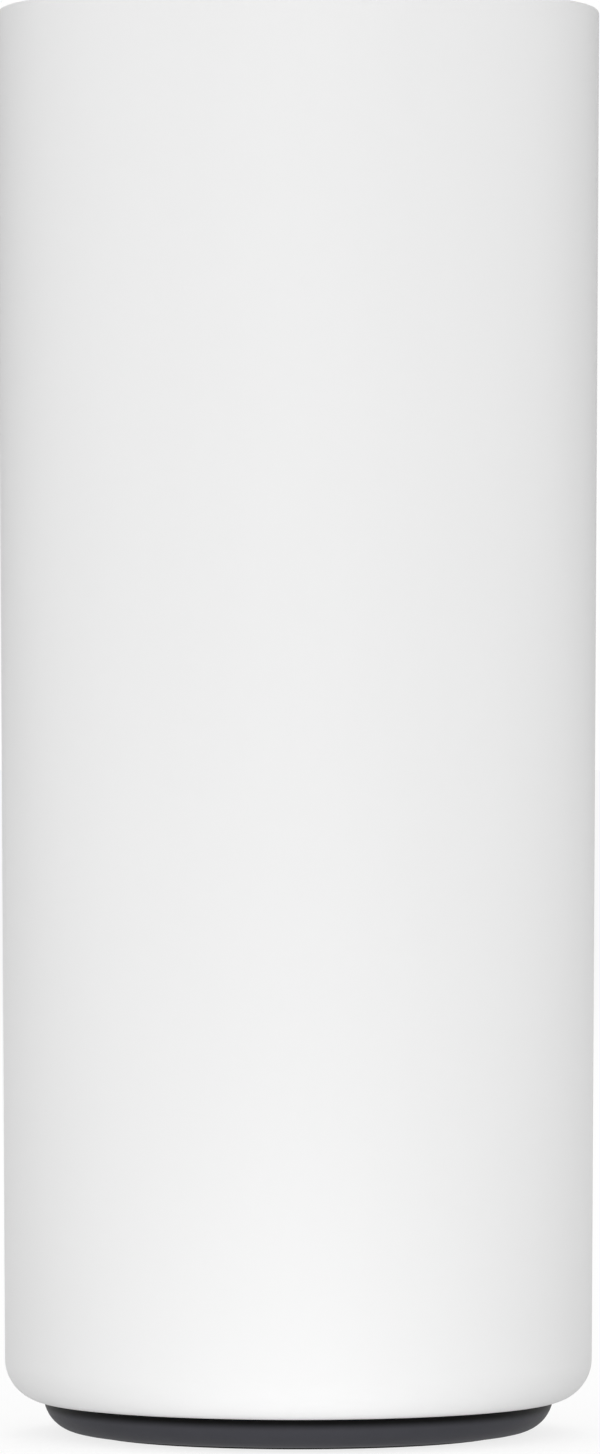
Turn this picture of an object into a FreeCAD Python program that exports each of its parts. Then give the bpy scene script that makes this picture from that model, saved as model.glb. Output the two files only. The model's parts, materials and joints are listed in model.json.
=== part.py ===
"""A round tower wireless router: a drafted white sleeve on a dark dished base, with a vented top,
a column of ports in its back, and the circuit board, heat sinks and antennas that it holds inside.

Millimetres. +Z is up, the origin is at the centre of the circle that the tower stands on, and +Y is
the back, where the ports are.
"""

import FreeCAD, Part
import math
import operator
import os
from types import SimpleNamespace

import Sketcher

V = FreeCAD.Vector
ALONG_X = FreeCAD.Rotation(V(0, 1, 0), 90)
ALONG_Y = FreeCAD.Rotation(V(1, 0, 0), -90)
ALONG_Z = FreeCAD.Rotation()

doc = FreeCAD.newDocument("RoundTowerRouter")
sheet = doc.addObject("Spreadsheet::Sheet", "Sizes")


# ------------------------------------------------------------------ driving dimensions

DRIVING = [
    # sleeve
    ("tower_height", 210.4, "floor to the rim of the sleeve"),
    ("rim_radius", 44.5, "outer radius of the sleeve at its rim"),
    ("heel_radius", 43.4, "outer radius where the sleeve starts to round under"),
    ("heel_round", 6.3, "rounding of the sleeve's lower edge"),
    ("wall", 2.2, "wall of the sleeve"),
    ("sleeve_floor", 4.8, "height of the sleeve's underside"),
    ("lip_radius", 34.6, "opening in the sleeve's underside"),
    # base
    ("base_radius", 37.6, "outer radius of the dark base"),
    ("base_top", 4.7, "height of the base's edge, which leaves a hairline gap"),
    ("base_underside", 0.4, "height of the base's underside above the floor"),
    ("base_inside", 2.6, "height of the base's inner floor"),
    ("seat_radius", 35.8, "step that the sleeve's underside rests on"),
    ("spigot_radius", 34.3, "ring that centres the sleeve"),
    ("spigot_top", 6.5, "height of that ring"),
    ("base_flat", 32.0, "radius of the flat of the base's underside"),
    ("base_edge", 5.3, "rounding from that flat up to the base's edge"),
    ("foot_outer", 31.0, "outer radius of the groove for the rubber foot"),
    ("foot_inner", 23.5, "inner radius of that groove"),
    ("foot_seat", 1.4, "height of the groove's bottom"),
    ("screw_circle", 27.5, "radius of the circle of base screws"),
    ("boss_radius", 4.2, "radius of the bosses round the base screws"),
    # chassis
    ("tray_radius", 36.0, "radius of the chassis tray"),
    ("tray_low", 7.0, "underside of the tray, on the sleeve's lip"),
    ("tray_high", 9.0, "top of the tray"),
    ("rail_half", 3.5, "half the width of a board rail"),
    ("rail_reach", 38.0, "distance of a rail's outer face from the axis"),
    ("rail_depth", 5.0, "depth of a rail"),
    ("ring_low", 195, "underside of the chassis top ring"),
    ("ring_thick", 2.4, "thickness of that ring"),
    ("ring_outer", 41.6, "outer radius of that ring"),
    ("ring_inner", 31.5, "inner radius of that ring"),
    ("post_circle", 38.3, "radius of the circle of posts under the top cover"),
    # circuit board
    ("board_face", -6.7, "x of the board's component face"),
    ("board_thick", 1.6, "thickness of the board"),
    ("board_reach", 36.8, "distance of the board's edges from the axis"),
    ("board_low", 15, "height of the board's lower edge"),
    ("board_high", 194, "height of the board's upper edge"),
    # port panel
    ("panel_face", 41.0, "y of the port panel's face"),
    ("panel_step", 39.0, "y where the panel's flange starts"),
    ("panel_back", 37.4, "y of the flange's inner face"),
    ("panel_half", 10.0, "half the width of the panel"),
    ("flange_half", 12.0, "half the width of its flange"),
    ("panel_low", 13, "height of the panel's lower end"),
    ("panel_high", 133, "height of the panel's upper end"),
    ("jack_face", 40.2, "y of the faces of the jacks"),
    ("jack_half", 6.7, "half of a jack, across the tower"),
    ("jack_tall", 7.9, "half of a jack, up the tower"),
    ("jack_deep", 21.0, "depth of a jack"),
    ("jack_first", 57.5, "height of the lowest network port"),
    ("jack_pitch", 17.4, "spacing of the network ports"),
    ("inlet_height", 22.5, "height of the power inlet"),
    ("inlet_bore", 3.15, "radius of the power inlet's barrel"),
    ("inlet_pin", 1.0, "radius of the power inlet's pin"),
    ("switch_height", 38.5, "height of the power switch"),
    ("rocker_pivot", 36.6, "y of the rocker's pivot"),
    ("pair_height", 124.5, "height of the pairing button"),
    ("pair_radius", 3.8, "radius of the pairing button"),
    # reset button
    ("reset_across", -4.7, "x of the reset button"),
    ("reset_back", -18.0, "y of the reset button"),
    # top
    ("cover_radius", 41.9, "radius of the top cover"),
    ("cover_high", 209.0, "height of the top cover's edge"),
    ("cover_centre", 207.4, "height of the top cover's middle, which is dished"),
    ("cover_thick", 1.8, "thickness of the top cover"),
    ("skirt_low", 202.0, "lower edge of the cover's skirt"),
    ("dish_edge", 38.5, "radius of the dished part of the top cover"),
    ("vent_width", 1.7, "width of a vent slot"),
    ("light_hole", 2.6, "radius of the hole for the light"),
    ("lamp_drop", 8.6, "depth of the lamp's board below the cover's middle"),
    ("lamp_board_thick", 1.2, "thickness of the lamp's board"),
    # heat sinks
    ("sink_front", -24.0, "y of the heat sinks' front edge"),
    ("sink_rear", 12.0, "y of their rear edge"),
    ("sink_gap", 2.4, "board face to heat sink, over the shields"),
    ("sink_plate", 2.8, "thickness of a heat sink's plate"),
    ("sink_fin", 1.4, "thickness of a fin"),
    ("sink_low", 60.0, "lower end of the heat sinks"),
    ("sink_high", 180.0, "upper end of the heat sinks"),
    ("shield_gap", 0.6, "shield to heat sink, filled by a thermal pad"),
    # antennas
    ("frame_inner", 34.0, "inner radius of the antenna frame"),
    ("frame_outer", 36.6, "outer radius of the antenna frame"),
    ("frame_low", 140.0, "underside of the antenna frame"),
    ("frame_high", 190.0, "top of the antenna frame"),
]


class Size:
    """A number together with the sheet expression that it comes from."""

    def __init__(self, value, text=None):
        self.value = float(value)
        self.text = text or repr(float(value))

    def __add__(self, other):
        return joined(self, "+", other)

    def __radd__(self, other):
        return joined(other, "+", self)

    def __sub__(self, other):
        return joined(self, "-", other)

    def __rsub__(self, other):
        return joined(other, "-", self)

    def __mul__(self, other):
        return joined(self, "*", other)

    def __rmul__(self, other):
        return joined(other, "*", self)

    def __truediv__(self, other):
        return joined(self, "/", other)

    def __neg__(self):
        return joined(0, "-", self)


def size(value):
    return value if isinstance(value, Size) else Size(value)


SIGNS = {"+": operator.add, "-": operator.sub, "*": operator.mul, "/": operator.truediv}


def joined(left, sign, right):
    a, b = size(left), size(right)
    return Size(SIGNS[sign](a.value, b.value), f"({a.text} {sign} {b.text})")


def fill_sheet():
    """Writes the driving dimensions, and returns them as sizes by name."""
    names = {}
    for row, (name, value, note) in enumerate(DRIVING, start=1):
        sheet.set(f"A{row}", str(value))
        sheet.set(f"B{row}", note)
        sheet.setAlias(f"A{row}", name)
        names[name] = Size(value, f"Sizes.{name}")
    doc.recompute()
    return SimpleNamespace(**names)


d = fill_sheet()

NETWORK_JACKS = 4
SCREW_START = 45  # degrees from +X to the first base screw
BASE_SCREWS = 4
POST_START = 30  # degrees from +X to the first post of the top cover
COVER_POSTS = 3
SINK_FINS = 9
THROUGH = 5.0  # how far a cut runs on past a wall
NEAR = 0.01  # tolerance when an edge is picked by its place
BARELY = 1.0001  # keeps a rounding just clear of exact tangency


# ------------------------------------------------------------------ primitives and booleans


def bind(thing, prop, value):
    thing.setExpression(prop, size(value).text)


def place(thing, x, y, z, turn=ALONG_Z):
    thing.Placement = FreeCAD.Placement(V(size(x).value, size(y).value, size(z).value), turn)
    for letter, value in (("x", x), ("y", y), ("z", z)):
        bind(thing, f"Placement.Base.{letter}", value)


def box(name, x, y, z):
    """A box from its ranges (low, high) along the three axes."""
    made = doc.addObject("Part::Box", name)
    for prop, (low, high) in (("Length", x), ("Width", y), ("Height", z)):
        bind(made, prop, high - low)
    place(made, x[0], y[0], z[0])
    return made


def rod(name, radius, x, y, z, length, turn=ALONG_Z):
    """A cylinder that starts at a point and runs along the axis that the turn gives."""
    made = doc.addObject("Part::Cylinder", name)
    bind(made, "Radius", radius)
    bind(made, "Height", length)
    place(made, x, y, z, turn)
    return made


def group(name, shapes):
    made = doc.addObject("Part::Compound", name)
    made.Links = shapes
    return made


def fused(name, shapes):
    made = doc.addObject("Part::MultiFuse", name)
    made.Shapes = shapes
    return made


def cut(name, base, tools):
    made = doc.addObject("Part::Cut", name)
    made.Base = base
    made.Tool = tools[0] if len(tools) == 1 else fused(name + "_tools", tools)
    return made


def around(radius, degrees):
    """A point on a circle about the tower's axis, as sizes."""
    angle = math.radians(degrees)
    return radius * math.cos(angle), radius * math.sin(angle)


# ------------------------------------------------------------------ bodies, sketches and features


def new_body(label):
    body = doc.addObject("PartDesign::Body", label)
    body.Label = label
    return body


def sketch_on(body, role, name, offset=0):
    """A sketch on one of the body's origin planes, moved along the plane's normal."""
    sketch = body.newObject("Sketcher::SketchObject", name)
    plane = next(f for f in body.Origin.OriginFeatures if f.Role == role)
    sketch.AttachmentSupport = (plane, [""])
    sketch.MapMode = "FlatFace"
    bind(sketch, "AttachmentOffset.Base.z", offset)
    return sketch


def pin_point(sketch, geometry, point, x, y):
    """Holds a point of the sketch at x, y."""
    for kind, axis, value in (("DistanceX", -2, size(x)), ("DistanceY", -1, size(y))):
        if value.value == 0:
            sketch.addConstraint(Sketcher.Constraint("PointOnObject", geometry, point, axis))
            continue
        index = sketch.addConstraint(Sketcher.Constraint(kind, -1, 1, geometry, point, value.value))
        name = f"{kind}_{geometry}_{point}"
        sketch.renameConstraint(index, name)
        sketch.setExpression(f".Constraints.{name}", value.text)


def set_radius(sketch, geometry, radius):
    index = sketch.addConstraint(Sketcher.Constraint("Radius", geometry, size(radius).value))
    sketch.renameConstraint(index, f"Radius_{geometry}")
    sketch.setExpression(f".Constraints.Radius_{geometry}", size(radius).text)


def arc_between(a, b, radius):
    """The short arc from a to b, which turns left where radius is positive."""
    chord = b - a
    half = chord.Length / 2
    height = math.sqrt(radius * radius - half * half)
    left = V(-chord.y, chord.x, 0).normalize()
    side = 1 if radius > 0 else -1
    centre = (a + b) * 0.5 + left * (side * height)
    bulge = centre - left * (side * abs(radius))
    return Part.Arc(a, bulge, b)


def outline(sketch, points, arcs=None):
    """A closed outline through points; arcs gives the radius of the stretch after a point."""
    arcs = arcs or {}
    places = [V(size(x).value, size(y).value, 0) for x, y in points]
    first = sketch.GeometryCount
    ends = []
    for i, start in enumerate(places):
        end = places[(i + 1) % len(places)]
        if i in arcs:
            radius = size(arcs[i])
            index = sketch.addGeometry(arc_between(start, end, radius.value))
            # an arc that turns right is stored from its other end
            ends.append((index, 1, 2) if radius.value > 0 else (index, 2, 1))
        else:
            index = sketch.addGeometry(Part.LineSegment(start, end))
            ends.append((index, 1, 2))
    for i, (index, _, tail) in enumerate(ends):
        nxt, head, _ = ends[(i + 1) % len(ends)]
        sketch.addConstraint(Sketcher.Constraint("Coincident", index, tail, nxt, head))
    for (index, head, _), (x, y) in zip(ends, points):
        pin_point(sketch, index, head, x, y)
    for i, radius in arcs.items():
        magnitude = radius if size(radius).value > 0 else -size(radius)
        set_radius(sketch, first + i, magnitude)


def circle(sketch, x, y, radius):
    at = V(size(x).value, size(y).value, 0)
    index = sketch.addGeometry(Part.Circle(at, V(0, 0, 1), size(radius).value))
    pin_point(sketch, index, 3, x, y)
    set_radius(sketch, index, radius)


def slot(sketch, x, low, high, radius):
    """An upright slot with round ends whose centres are at low and high."""
    x, low, high, radius = size(x), size(low), size(high), size(radius)
    up, down = V(x.value, high.value, 0), V(x.value, low.value, 0)
    side = V(radius.value, 0, 0)
    lift = V(0, radius.value, 0)
    top = sketch.addGeometry(Part.Arc(up + side, up + lift, up - side))
    left = sketch.addGeometry(Part.LineSegment(up - side, down - side))
    foot = sketch.addGeometry(Part.Arc(down - side, down - lift, down + side))
    right = sketch.addGeometry(Part.LineSegment(down + side, up + side))
    for a, b in ((top, left), (left, foot), (foot, right), (right, top)):
        sketch.addConstraint(Sketcher.Constraint("Tangent", a, 2, b, 1))
    sketch.addConstraint(Sketcher.Constraint("Equal", top, foot))
    pin_point(sketch, top, 3, x, high)
    pin_point(sketch, foot, 3, x, low)
    set_radius(sketch, top, radius)


def rectangle(sketch, x, y):
    outline(sketch, [(x[0], y[0]), (x[1], y[0]), (x[1], y[1]), (x[0], y[1])])


def revolve(body, sketch, name):
    made = body.newObject("PartDesign::Revolution", name)
    made.Profile = sketch
    made.ReferenceAxis = (sketch, ["V_Axis"])
    made.Angle = 360
    return made


def pad(body, sketch, name, length):
    made = body.newObject("PartDesign::Pad", name)
    made.Profile = sketch
    bind(made, "Length", length)
    return made


def pocket(body, sketch, name, length):
    made = body.newObject("PartDesign::Pocket", name)
    made.Profile = sketch
    bind(made, "Length", length)
    return made


def repeat_round(body, sketch, feature, name, count):
    """Repeats a feature round the tower's axis; the sketch lies across that axis."""
    made = body.newObject("PartDesign::PolarPattern", name)
    made.Originals = [feature]
    made.Axis = (sketch, ["N_Axis"])
    made.Angle = 360
    made.Occurrences = count
    body.Tip = made
    return made


def repeat_along(body, sketch, feature, name, axis, length, count):
    made = body.newObject("PartDesign::LinearPattern", name)
    made.Originals = [feature]
    made.Direction = (sketch, [axis])
    bind(made, "Length", length)
    made.Occurrences = count
    body.Tip = made
    return made


def round_edges(body, base, name, radius, wanted):
    """Fillets the edges of the base feature that wanted(edge) picks."""
    doc.recompute()
    picked = [f"Edge{i}" for i, e in enumerate(base.Shape.Edges, start=1) if wanted(e)]
    made = body.newObject("PartDesign::Fillet", name)
    made.Base = (base, picked)
    made.Radius = radius
    return made


# ------------------------------------------------------------------ casing


def outer_sleeve():
    """The one-piece white sleeve: a drafted tube that rounds under to a narrow lip, with the port
    window through its back."""
    body = new_body("outer_sleeve")
    profile = sketch_on(body, "XZ_Plane", "sleeve_profile")
    turn = d.heel_radius - d.heel_round
    shoulder = d.sleeve_floor + d.heel_round
    inner_round = d.heel_round - d.wall
    outline(
        profile,
        [
            (d.lip_radius, d.sleeve_floor),
            (turn, d.sleeve_floor),
            (d.heel_radius, shoulder),
            (d.rim_radius, d.tower_height),
            (d.rim_radius - d.wall, d.tower_height),
            (d.heel_radius - d.wall, shoulder),
            (turn, d.sleeve_floor + d.wall),
            (d.lip_radius, d.sleeve_floor + d.wall),
        ],
        {1: d.heel_round * BARELY, 5: -(inner_round * BARELY)},
    )
    revolve(body, profile, "sleeve_turn")
    window = sketch_on(body, "XZ_Plane", "port_window_outline")
    gap, rim_rounding = 0.3, 0.7
    slot(window, 0, d.panel_low + d.panel_half, d.panel_high - d.panel_half, d.panel_half + gap)
    opened = pocket(body, window, "port_window", d.rim_radius + THROUGH)
    rim = d.tower_height.value
    round_edges(body, opened, "rim_rounding", rim_rounding, lambda e: e.BoundBox.ZMin > rim - NEAR)
    return body


def base_dish():
    """The dark base: a dish with a rounded edge, a ring that centres the sleeve, a groove for the
    rubber foot, screw bosses, air inlets and the hole for the reset button."""
    body = new_body("base_dish")
    profile = sketch_on(body, "XZ_Plane", "dish_profile")
    ring_wall = 1.8
    outline(
        profile,
        [
            (0, d.base_underside),
            (d.foot_inner, d.base_underside),
            (d.foot_inner, d.foot_seat),
            (d.foot_outer, d.foot_seat),
            (d.foot_outer, d.base_underside),
            (d.base_flat, d.base_underside),
            (d.base_radius, d.base_top),
            (d.seat_radius, d.base_top),
            (d.seat_radius, d.sleeve_floor),
            (d.spigot_radius, d.sleeve_floor),
            (d.spigot_radius, d.spigot_top),
            (d.spigot_radius - ring_wall, d.spigot_top),
            (d.spigot_radius - ring_wall, d.base_inside),
            (0, d.base_inside),
        ],
        {5: d.base_edge},
    )
    revolve(body, profile, "dish_turn")
    screw_hole, head_recess, recess_top, recess_depth = 1.8, 3.1, d.foot_seat + 2.2, 3.6
    corner = d.screw_circle * math.cos(math.radians(SCREW_START))
    bosses = sketch_on(body, "XY_Plane", "boss_outline", d.base_inside)
    circle(bosses, corner, corner, d.boss_radius)
    boss = pad(body, bosses, "screw_boss", d.tray_low - d.base_inside)
    repeat_round(body, bosses, boss, "screw_bosses", BASE_SCREWS)
    drills = sketch_on(body, "XY_Plane", "screw_hole_outline", d.tray_low)
    circle(drills, corner, corner, screw_hole)
    hole = pocket(body, drills, "screw_hole", d.tray_low)
    repeat_round(body, drills, hole, "screw_holes", BASE_SCREWS)
    sinks = sketch_on(body, "XY_Plane", "head_recess_outline", recess_top)
    circle(sinks, corner, corner, head_recess)
    recess = pocket(body, sinks, "head_recess", recess_depth)
    repeat_round(body, sinks, recess, "head_recesses", BASE_SCREWS)
    inlet_start, inlet_end, inlet_half, inlet_count = 10.5, 19.0, 1.3, 12
    inlets = sketch_on(body, "XY_Plane", "inlet_outline", d.base_inside)
    slot(inlets, 0, inlet_start, inlet_end, inlet_half)
    inlet = pocket(body, inlets, "air_inlet", d.base_inside)
    repeat_round(body, inlets, inlet, "air_inlets", inlet_count)
    reset_hole = 2.6
    press = sketch_on(body, "XY_Plane", "reset_hole_outline", d.base_inside)
    circle(press, d.reset_across, d.reset_back, reset_hole)
    pocket(body, press, "reset_hole", d.base_inside)
    return body


def rubber_foot():
    """The soft ring that the tower stands on."""
    body = new_body("rubber_foot")
    profile = sketch_on(body, "XZ_Plane", "foot_profile")
    clearance, rounding = 0.2, 0.35
    inner, outer = d.foot_inner + clearance, d.foot_outer - clearance
    outline(
        profile,
        [
            (inner + rounding, 0),
            (outer - rounding, 0),
            (outer, rounding),
            (outer, d.foot_seat),
            (inner, d.foot_seat),
            (inner, rounding),
        ],
    )
    revolve(body, profile, "foot_turn")
    return body


def rating_label():
    """The blank label in the middle of the underside."""
    radius, thick = 7.5, 0.12
    return rod("rating_label", radius, 0, 0, d.base_underside - thick, thick)


def top_vent_cover():
    """The dished cover inside the rim, with three rings of radial vents and a hole for the light."""
    body = new_body("top_vent_cover")
    profile = sketch_on(body, "XZ_Plane", "cover_profile")
    edge, sag = d.dish_edge.value, d.cover_high.value - d.cover_centre.value
    dish = (edge * edge + sag * sag) / (2 * sag)
    skirt = 1.8
    outline(
        profile,
        [
            (0, d.cover_centre - d.cover_thick),
            (d.dish_edge, d.cover_high - d.cover_thick),
            (d.cover_radius - skirt, d.cover_high - d.cover_thick),
            (d.cover_radius - skirt, d.skirt_low),
            (d.cover_radius, d.skirt_low),
            (d.cover_radius, d.cover_high),
            (d.dish_edge, d.cover_high),
            (0, d.cover_centre),
        ],
        {0: dish, 6: -dish},
    )
    revolve(body, profile, "cover_turn")
    vent_rings = ((11.5, 16.0, 18), (19.5, 26.5, 36), (30.0, 36.5, 54))
    for number, (start, end, count) in enumerate(vent_rings):
        rays = sketch_on(body, "XY_Plane", f"vent_outline_{number}", d.cover_high)
        slot(rays, 0, start, end, d.vent_width / 2)
        vent = pocket(body, rays, f"vent_{number}", THROUGH)
        repeat_round(body, rays, vent, f"vents_{number}", count)
    light = sketch_on(body, "XY_Plane", "light_hole_outline", d.cover_high)
    circle(light, 0, 0, d.light_hole)
    pocket(body, light, "light_hole", THROUGH)
    post_radius, merge, bore_radius, bore_high, bore_deep = 1.7, 0.5, 0.95, 6.0, 6.5
    seat = d.ring_low + d.ring_thick
    posts = sketch_on(body, "XY_Plane", "post_outline", seat)
    across, back = around(d.post_circle, POST_START)
    circle(posts, across, back, post_radius)
    post = pad(body, posts, "post", d.cover_high - d.cover_thick - seat + merge)
    repeat_round(body, posts, post, "posts", COVER_POSTS)
    bores = sketch_on(body, "XY_Plane", "post_bore_outline", seat + bore_high)
    circle(bores, across, back, bore_radius)
    bore = pocket(body, bores, "post_bore", bore_deep)
    repeat_round(body, bores, bore, "post_bores", COVER_POSTS)
    return body


def port_panel():
    """The dark panel in the back, which fills the sleeve's window and holds the faces of the ports."""
    body = new_body("port_panel")
    overlap = 1.5
    flange = sketch_on(body, "XZ_Plane", "flange_outline", -d.panel_step)
    rectangle(flange, (-d.flange_half, d.flange_half), (d.panel_low - overlap, d.panel_high + overlap))
    pad(body, flange, "flange", d.panel_step - d.panel_back)
    face = sketch_on(body, "XZ_Plane", "face_outline", -d.panel_face)
    slot(face, 0, d.panel_low + d.panel_half, d.panel_high - d.panel_half, d.panel_half)
    raised = pad(body, face, "face", d.panel_face - d.panel_step)
    front, rounding = d.panel_face.value, 0.5
    round_edges(body, raised, "face_rounding", rounding, lambda e: e.BoundBox.YMin > front - NEAR)
    gap, switch_half, switch_tall, inlet_hole = 0.2, 5.0, 7.7, 4.7
    holes = sketch_on(body, "XZ_Plane", "port_holes_outline", -d.panel_back)
    for number in range(NETWORK_JACKS):
        middle = d.jack_first + number * d.jack_pitch
        tall = d.jack_tall + gap
        rectangle(holes, (-d.jack_half - gap, d.jack_half + gap), (middle - tall, middle + tall))
    switch_ends = (d.switch_height - switch_tall, d.switch_height + switch_tall)
    rectangle(holes, (-switch_half, switch_half), switch_ends)
    circle(holes, 0, d.inlet_height, inlet_hole)
    circle(holes, 0, d.pair_height, d.pair_radius + gap)
    pocket(body, holes, "port_holes", THROUGH)
    return body


# ------------------------------------------------------------------ chassis


def chassis_tray():
    """The tray that clamps the sleeve's lip and carries the rails, with bosses for the base screws
    and holes for the air."""
    body = new_body("chassis_tray")
    plate = sketch_on(body, "XY_Plane", "tray_outline", d.tray_low)
    circle(plate, 0, 0, d.tray_radius)
    pad(body, plate, "tray", d.tray_high - d.tray_low)
    boss_radius, boss_tall, bore_radius, bore_high, bore_deep = 3.4, 5.5, 1.55, 5.0, 9.0
    corner = d.screw_circle * math.cos(math.radians(SCREW_START))
    bosses = sketch_on(body, "XY_Plane", "tray_boss_outline", d.tray_high)
    circle(bosses, corner, corner, boss_radius)
    boss = pad(body, bosses, "tray_boss", boss_tall)
    repeat_round(body, bosses, boss, "tray_bosses", BASE_SCREWS)
    drills = sketch_on(body, "XY_Plane", "tray_hole_outline", d.tray_high + bore_high)
    circle(drills, corner, corner, bore_radius)
    hole = pocket(body, drills, "tray_hole", bore_deep)
    repeat_round(body, drills, hole, "tray_holes", BASE_SCREWS)
    vent_start, vent_end, vent_half, vent_count = 11.0, 19.0, 1.8, 12
    vents = sketch_on(body, "XY_Plane", "tray_vent_outline", d.tray_high)
    slot(vents, 0, vent_start, vent_end, vent_half)
    vent = pocket(body, vents, "tray_vent", THROUGH)
    repeat_round(body, vents, vent, "tray_vents", vent_count)
    stem_hole = 1.9
    stem = sketch_on(body, "XY_Plane", "stem_hole_outline", d.tray_high)
    circle(stem, d.reset_across, d.reset_back, stem_hole)
    pocket(body, stem, "stem_hole", THROUGH)
    return body


def board_rail(name, side, low):
    """A rail with a groove that grips one edge of the circuit board."""
    end_play, side_play, past = 0.1, 0.05, 1.0
    middle = d.board_face - d.board_thick / 2
    reach, inner = side * d.rail_reach, side * (d.rail_reach - d.rail_depth)
    ends = (inner, reach) if side > 0 else (reach, inner)
    bar = box(name + "_bar", (middle - d.rail_half, middle + d.rail_half), ends, (low, d.ring_low))
    grip = side * (d.board_reach + end_play)
    groove_ends = (inner - past, grip) if side > 0 else (grip, inner + past)
    half = d.board_thick / 2 + side_play
    heights = (low - past, d.board_high + end_play)
    groove = box(name + "_groove", (middle - half, middle + half), groove_ends, heights)
    return cut(name, bar, [groove])


def top_ring():
    """The ring that ties the rails together and carries the top cover."""
    body = new_body("top_ring")
    plate = sketch_on(body, "XY_Plane", "ring_outline", d.ring_low)
    circle(plate, 0, 0, d.ring_outer)
    circle(plate, 0, 0, d.ring_inner)
    pad(body, plate, "ring", d.ring_thick)
    screw_hole = 1.1
    drills = sketch_on(body, "XY_Plane", "ring_hole_outline", d.ring_low + d.ring_thick)
    across, back = around(d.post_circle, POST_START)
    circle(drills, across, back, screw_hole)
    hole = pocket(body, drills, "ring_hole", THROUGH)
    repeat_round(body, drills, hole, "ring_holes", COVER_POSTS)
    return body


# ------------------------------------------------------------------ circuit board and its parts


def screw_places():
    """Where the heat sink screws pass the board: (y, z) pairs, half way between fins."""
    end_margin, gaps = 6, (1.5, 6.5)
    pitch = (d.sink_rear - d.sink_front - d.sink_fin) / (SINK_FINS - 1)
    start = d.sink_front + d.sink_fin / 2
    heights = (d.sink_low + end_margin, d.sink_high - end_margin)
    return [(start + pitch * gap, z) for gap in gaps for z in heights]


def main_board():
    board = box(
        "board_blank",
        (d.board_face - d.board_thick, d.board_face),
        (-d.board_reach, d.board_reach),
        (d.board_low, d.board_high),
    )
    radius, start, length = 1.3, d.board_face - 3, 6
    holes = [
        rod(f"board_hole_{i}", radius, start, y, z, length, ALONG_X)
        for i, (y, z) in enumerate(screw_places())
    ]
    return cut("main_board", board, holes)


def heat_sink(name, side):
    """A finned plate on one side of the board; the fins stand upright for the rising air."""
    body = new_body(name)
    root_depth, screw_hole, drill_past = 1.0, 1.1, 12.0
    start = d.board_face + d.sink_gap if side > 0 else d.board_face - d.board_thick - d.sink_gap
    tip = size(20.0) if side > 0 else size(-21.0)
    end = start + side * d.sink_plate
    plate = sketch_on(body, "XY_Plane", name + "_plate_outline", d.sink_low)
    flat = (start, end) if side > 0 else (end, start)
    rectangle(plate, flat, (d.sink_front, d.sink_rear))
    pad(body, plate, name + "_plate", d.sink_high - d.sink_low)
    blade = sketch_on(body, "XY_Plane", name + "_fin_outline", d.sink_low)
    root = start + side * root_depth
    reach = (root, tip) if side > 0 else (tip, root)
    rectangle(blade, reach, (d.sink_front, d.sink_front + d.sink_fin))
    fin = pad(body, blade, name + "_fin", d.sink_high - d.sink_low)
    spread = d.sink_rear - d.sink_front - d.sink_fin
    repeat_along(body, blade, fin, name + "_fins", "V_Axis", spread, SINK_FINS)
    for i, (y, z) in enumerate(screw_places()):
        drill = sketch_on(body, "YZ_Plane", f"{name}_drill_{i}", tip if side > 0 else start + 1)
        circle(drill, y, z, screw_hole)
        pocket(body, drill, f"{name}_hole_{i}", abs(tip.value) + drill_past)
    return body


def heat_sink_screws():
    """Screws that clamp the two heat sinks together through the board."""
    shank_radius, shank_long, head_radius, head_tall = 1.0, 11.0, 1.4, 1.4
    made = []
    left = d.board_face - d.board_thick - d.sink_gap - d.sink_plate
    for i, (y, z) in enumerate(screw_places()):
        shank = rod(f"sink_shank_{i}", shank_radius, left, y, z, shank_long, ALONG_X)
        head = rod(f"sink_head_{i}", head_radius, left - head_tall, y, z, head_tall, ALONG_X)
        made.append(fused(f"sink_screw_{i}", [shank, head]))
    return group("heat_sink_screws", made)


def shield(name, side, z):
    """A pressed metal can over the chips on one face of the board, between two heights."""
    y = (size(-21.0), size(7.0))
    z = (size(z[0]), size(z[1]))
    face = d.board_face if side > 0 else d.board_face - d.board_thick
    tall = d.sink_gap - d.shield_gap
    outer = (face, face + tall) if side > 0 else (face - tall, face)
    skin = 0.25
    inner = (face - 1, face + tall - skin) if side > 0 else (face - tall + skin, face + 1)
    can = box(name + "_can", outer, y, z)
    hollow = box(name + "_inside", inner, (y[0] + skin, y[1] - skin), (z[0] + skin, z[1] - skin))
    return cut(name, can, [hollow])


def thermal_pad(name, side, z):
    """The soft pad between a shield and its heat sink, between two heights."""
    face = d.board_face if side > 0 else d.board_face - d.board_thick
    inner, outer = face + side * (d.sink_gap - d.shield_gap), face + side * d.sink_gap
    return box(name, (inner, outer) if side > 0 else (outer, inner), (-16.0, 2.0), z)


def processor():
    face, thick = d.board_face, 1.2
    return box("processor_chip", (face, face + thick), (-16.0, 2.0), (110.0, 128.0))


def capacitors():
    """Three electrolytic capacitors beside the power inlet."""
    radius, tall = 3.1, 7.5
    places = ((10.0, 24.0), (2.0, 24.0), (10.0, 33.0))
    cans = [
        rod(f"capacitor_{i}", radius, d.board_face, y, z, tall, ALONG_X)
        for i, (y, z) in enumerate(places)
    ]
    return group("capacitors", cans)


def transformers():
    """The isolating transformers of the network ports, on the far face of the board."""
    face = d.board_face - d.board_thick
    thick, half = 4.5, 5.5
    blocks = []
    for number in range(NETWORK_JACKS):
        middle = d.jack_first + number * d.jack_pitch
        ends = (middle - half, middle + half)
        blocks.append(box(f"transformer_{number}", (face - thick, face), (16.0, 28.0), ends))
    return group("network_transformers", blocks)


# ------------------------------------------------------------------ ports, switch and buttons


SHIELD_SKIN = 0.3
JACK_RECESS = 0.2  # jack's mouth behind the edge of its shield


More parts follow.
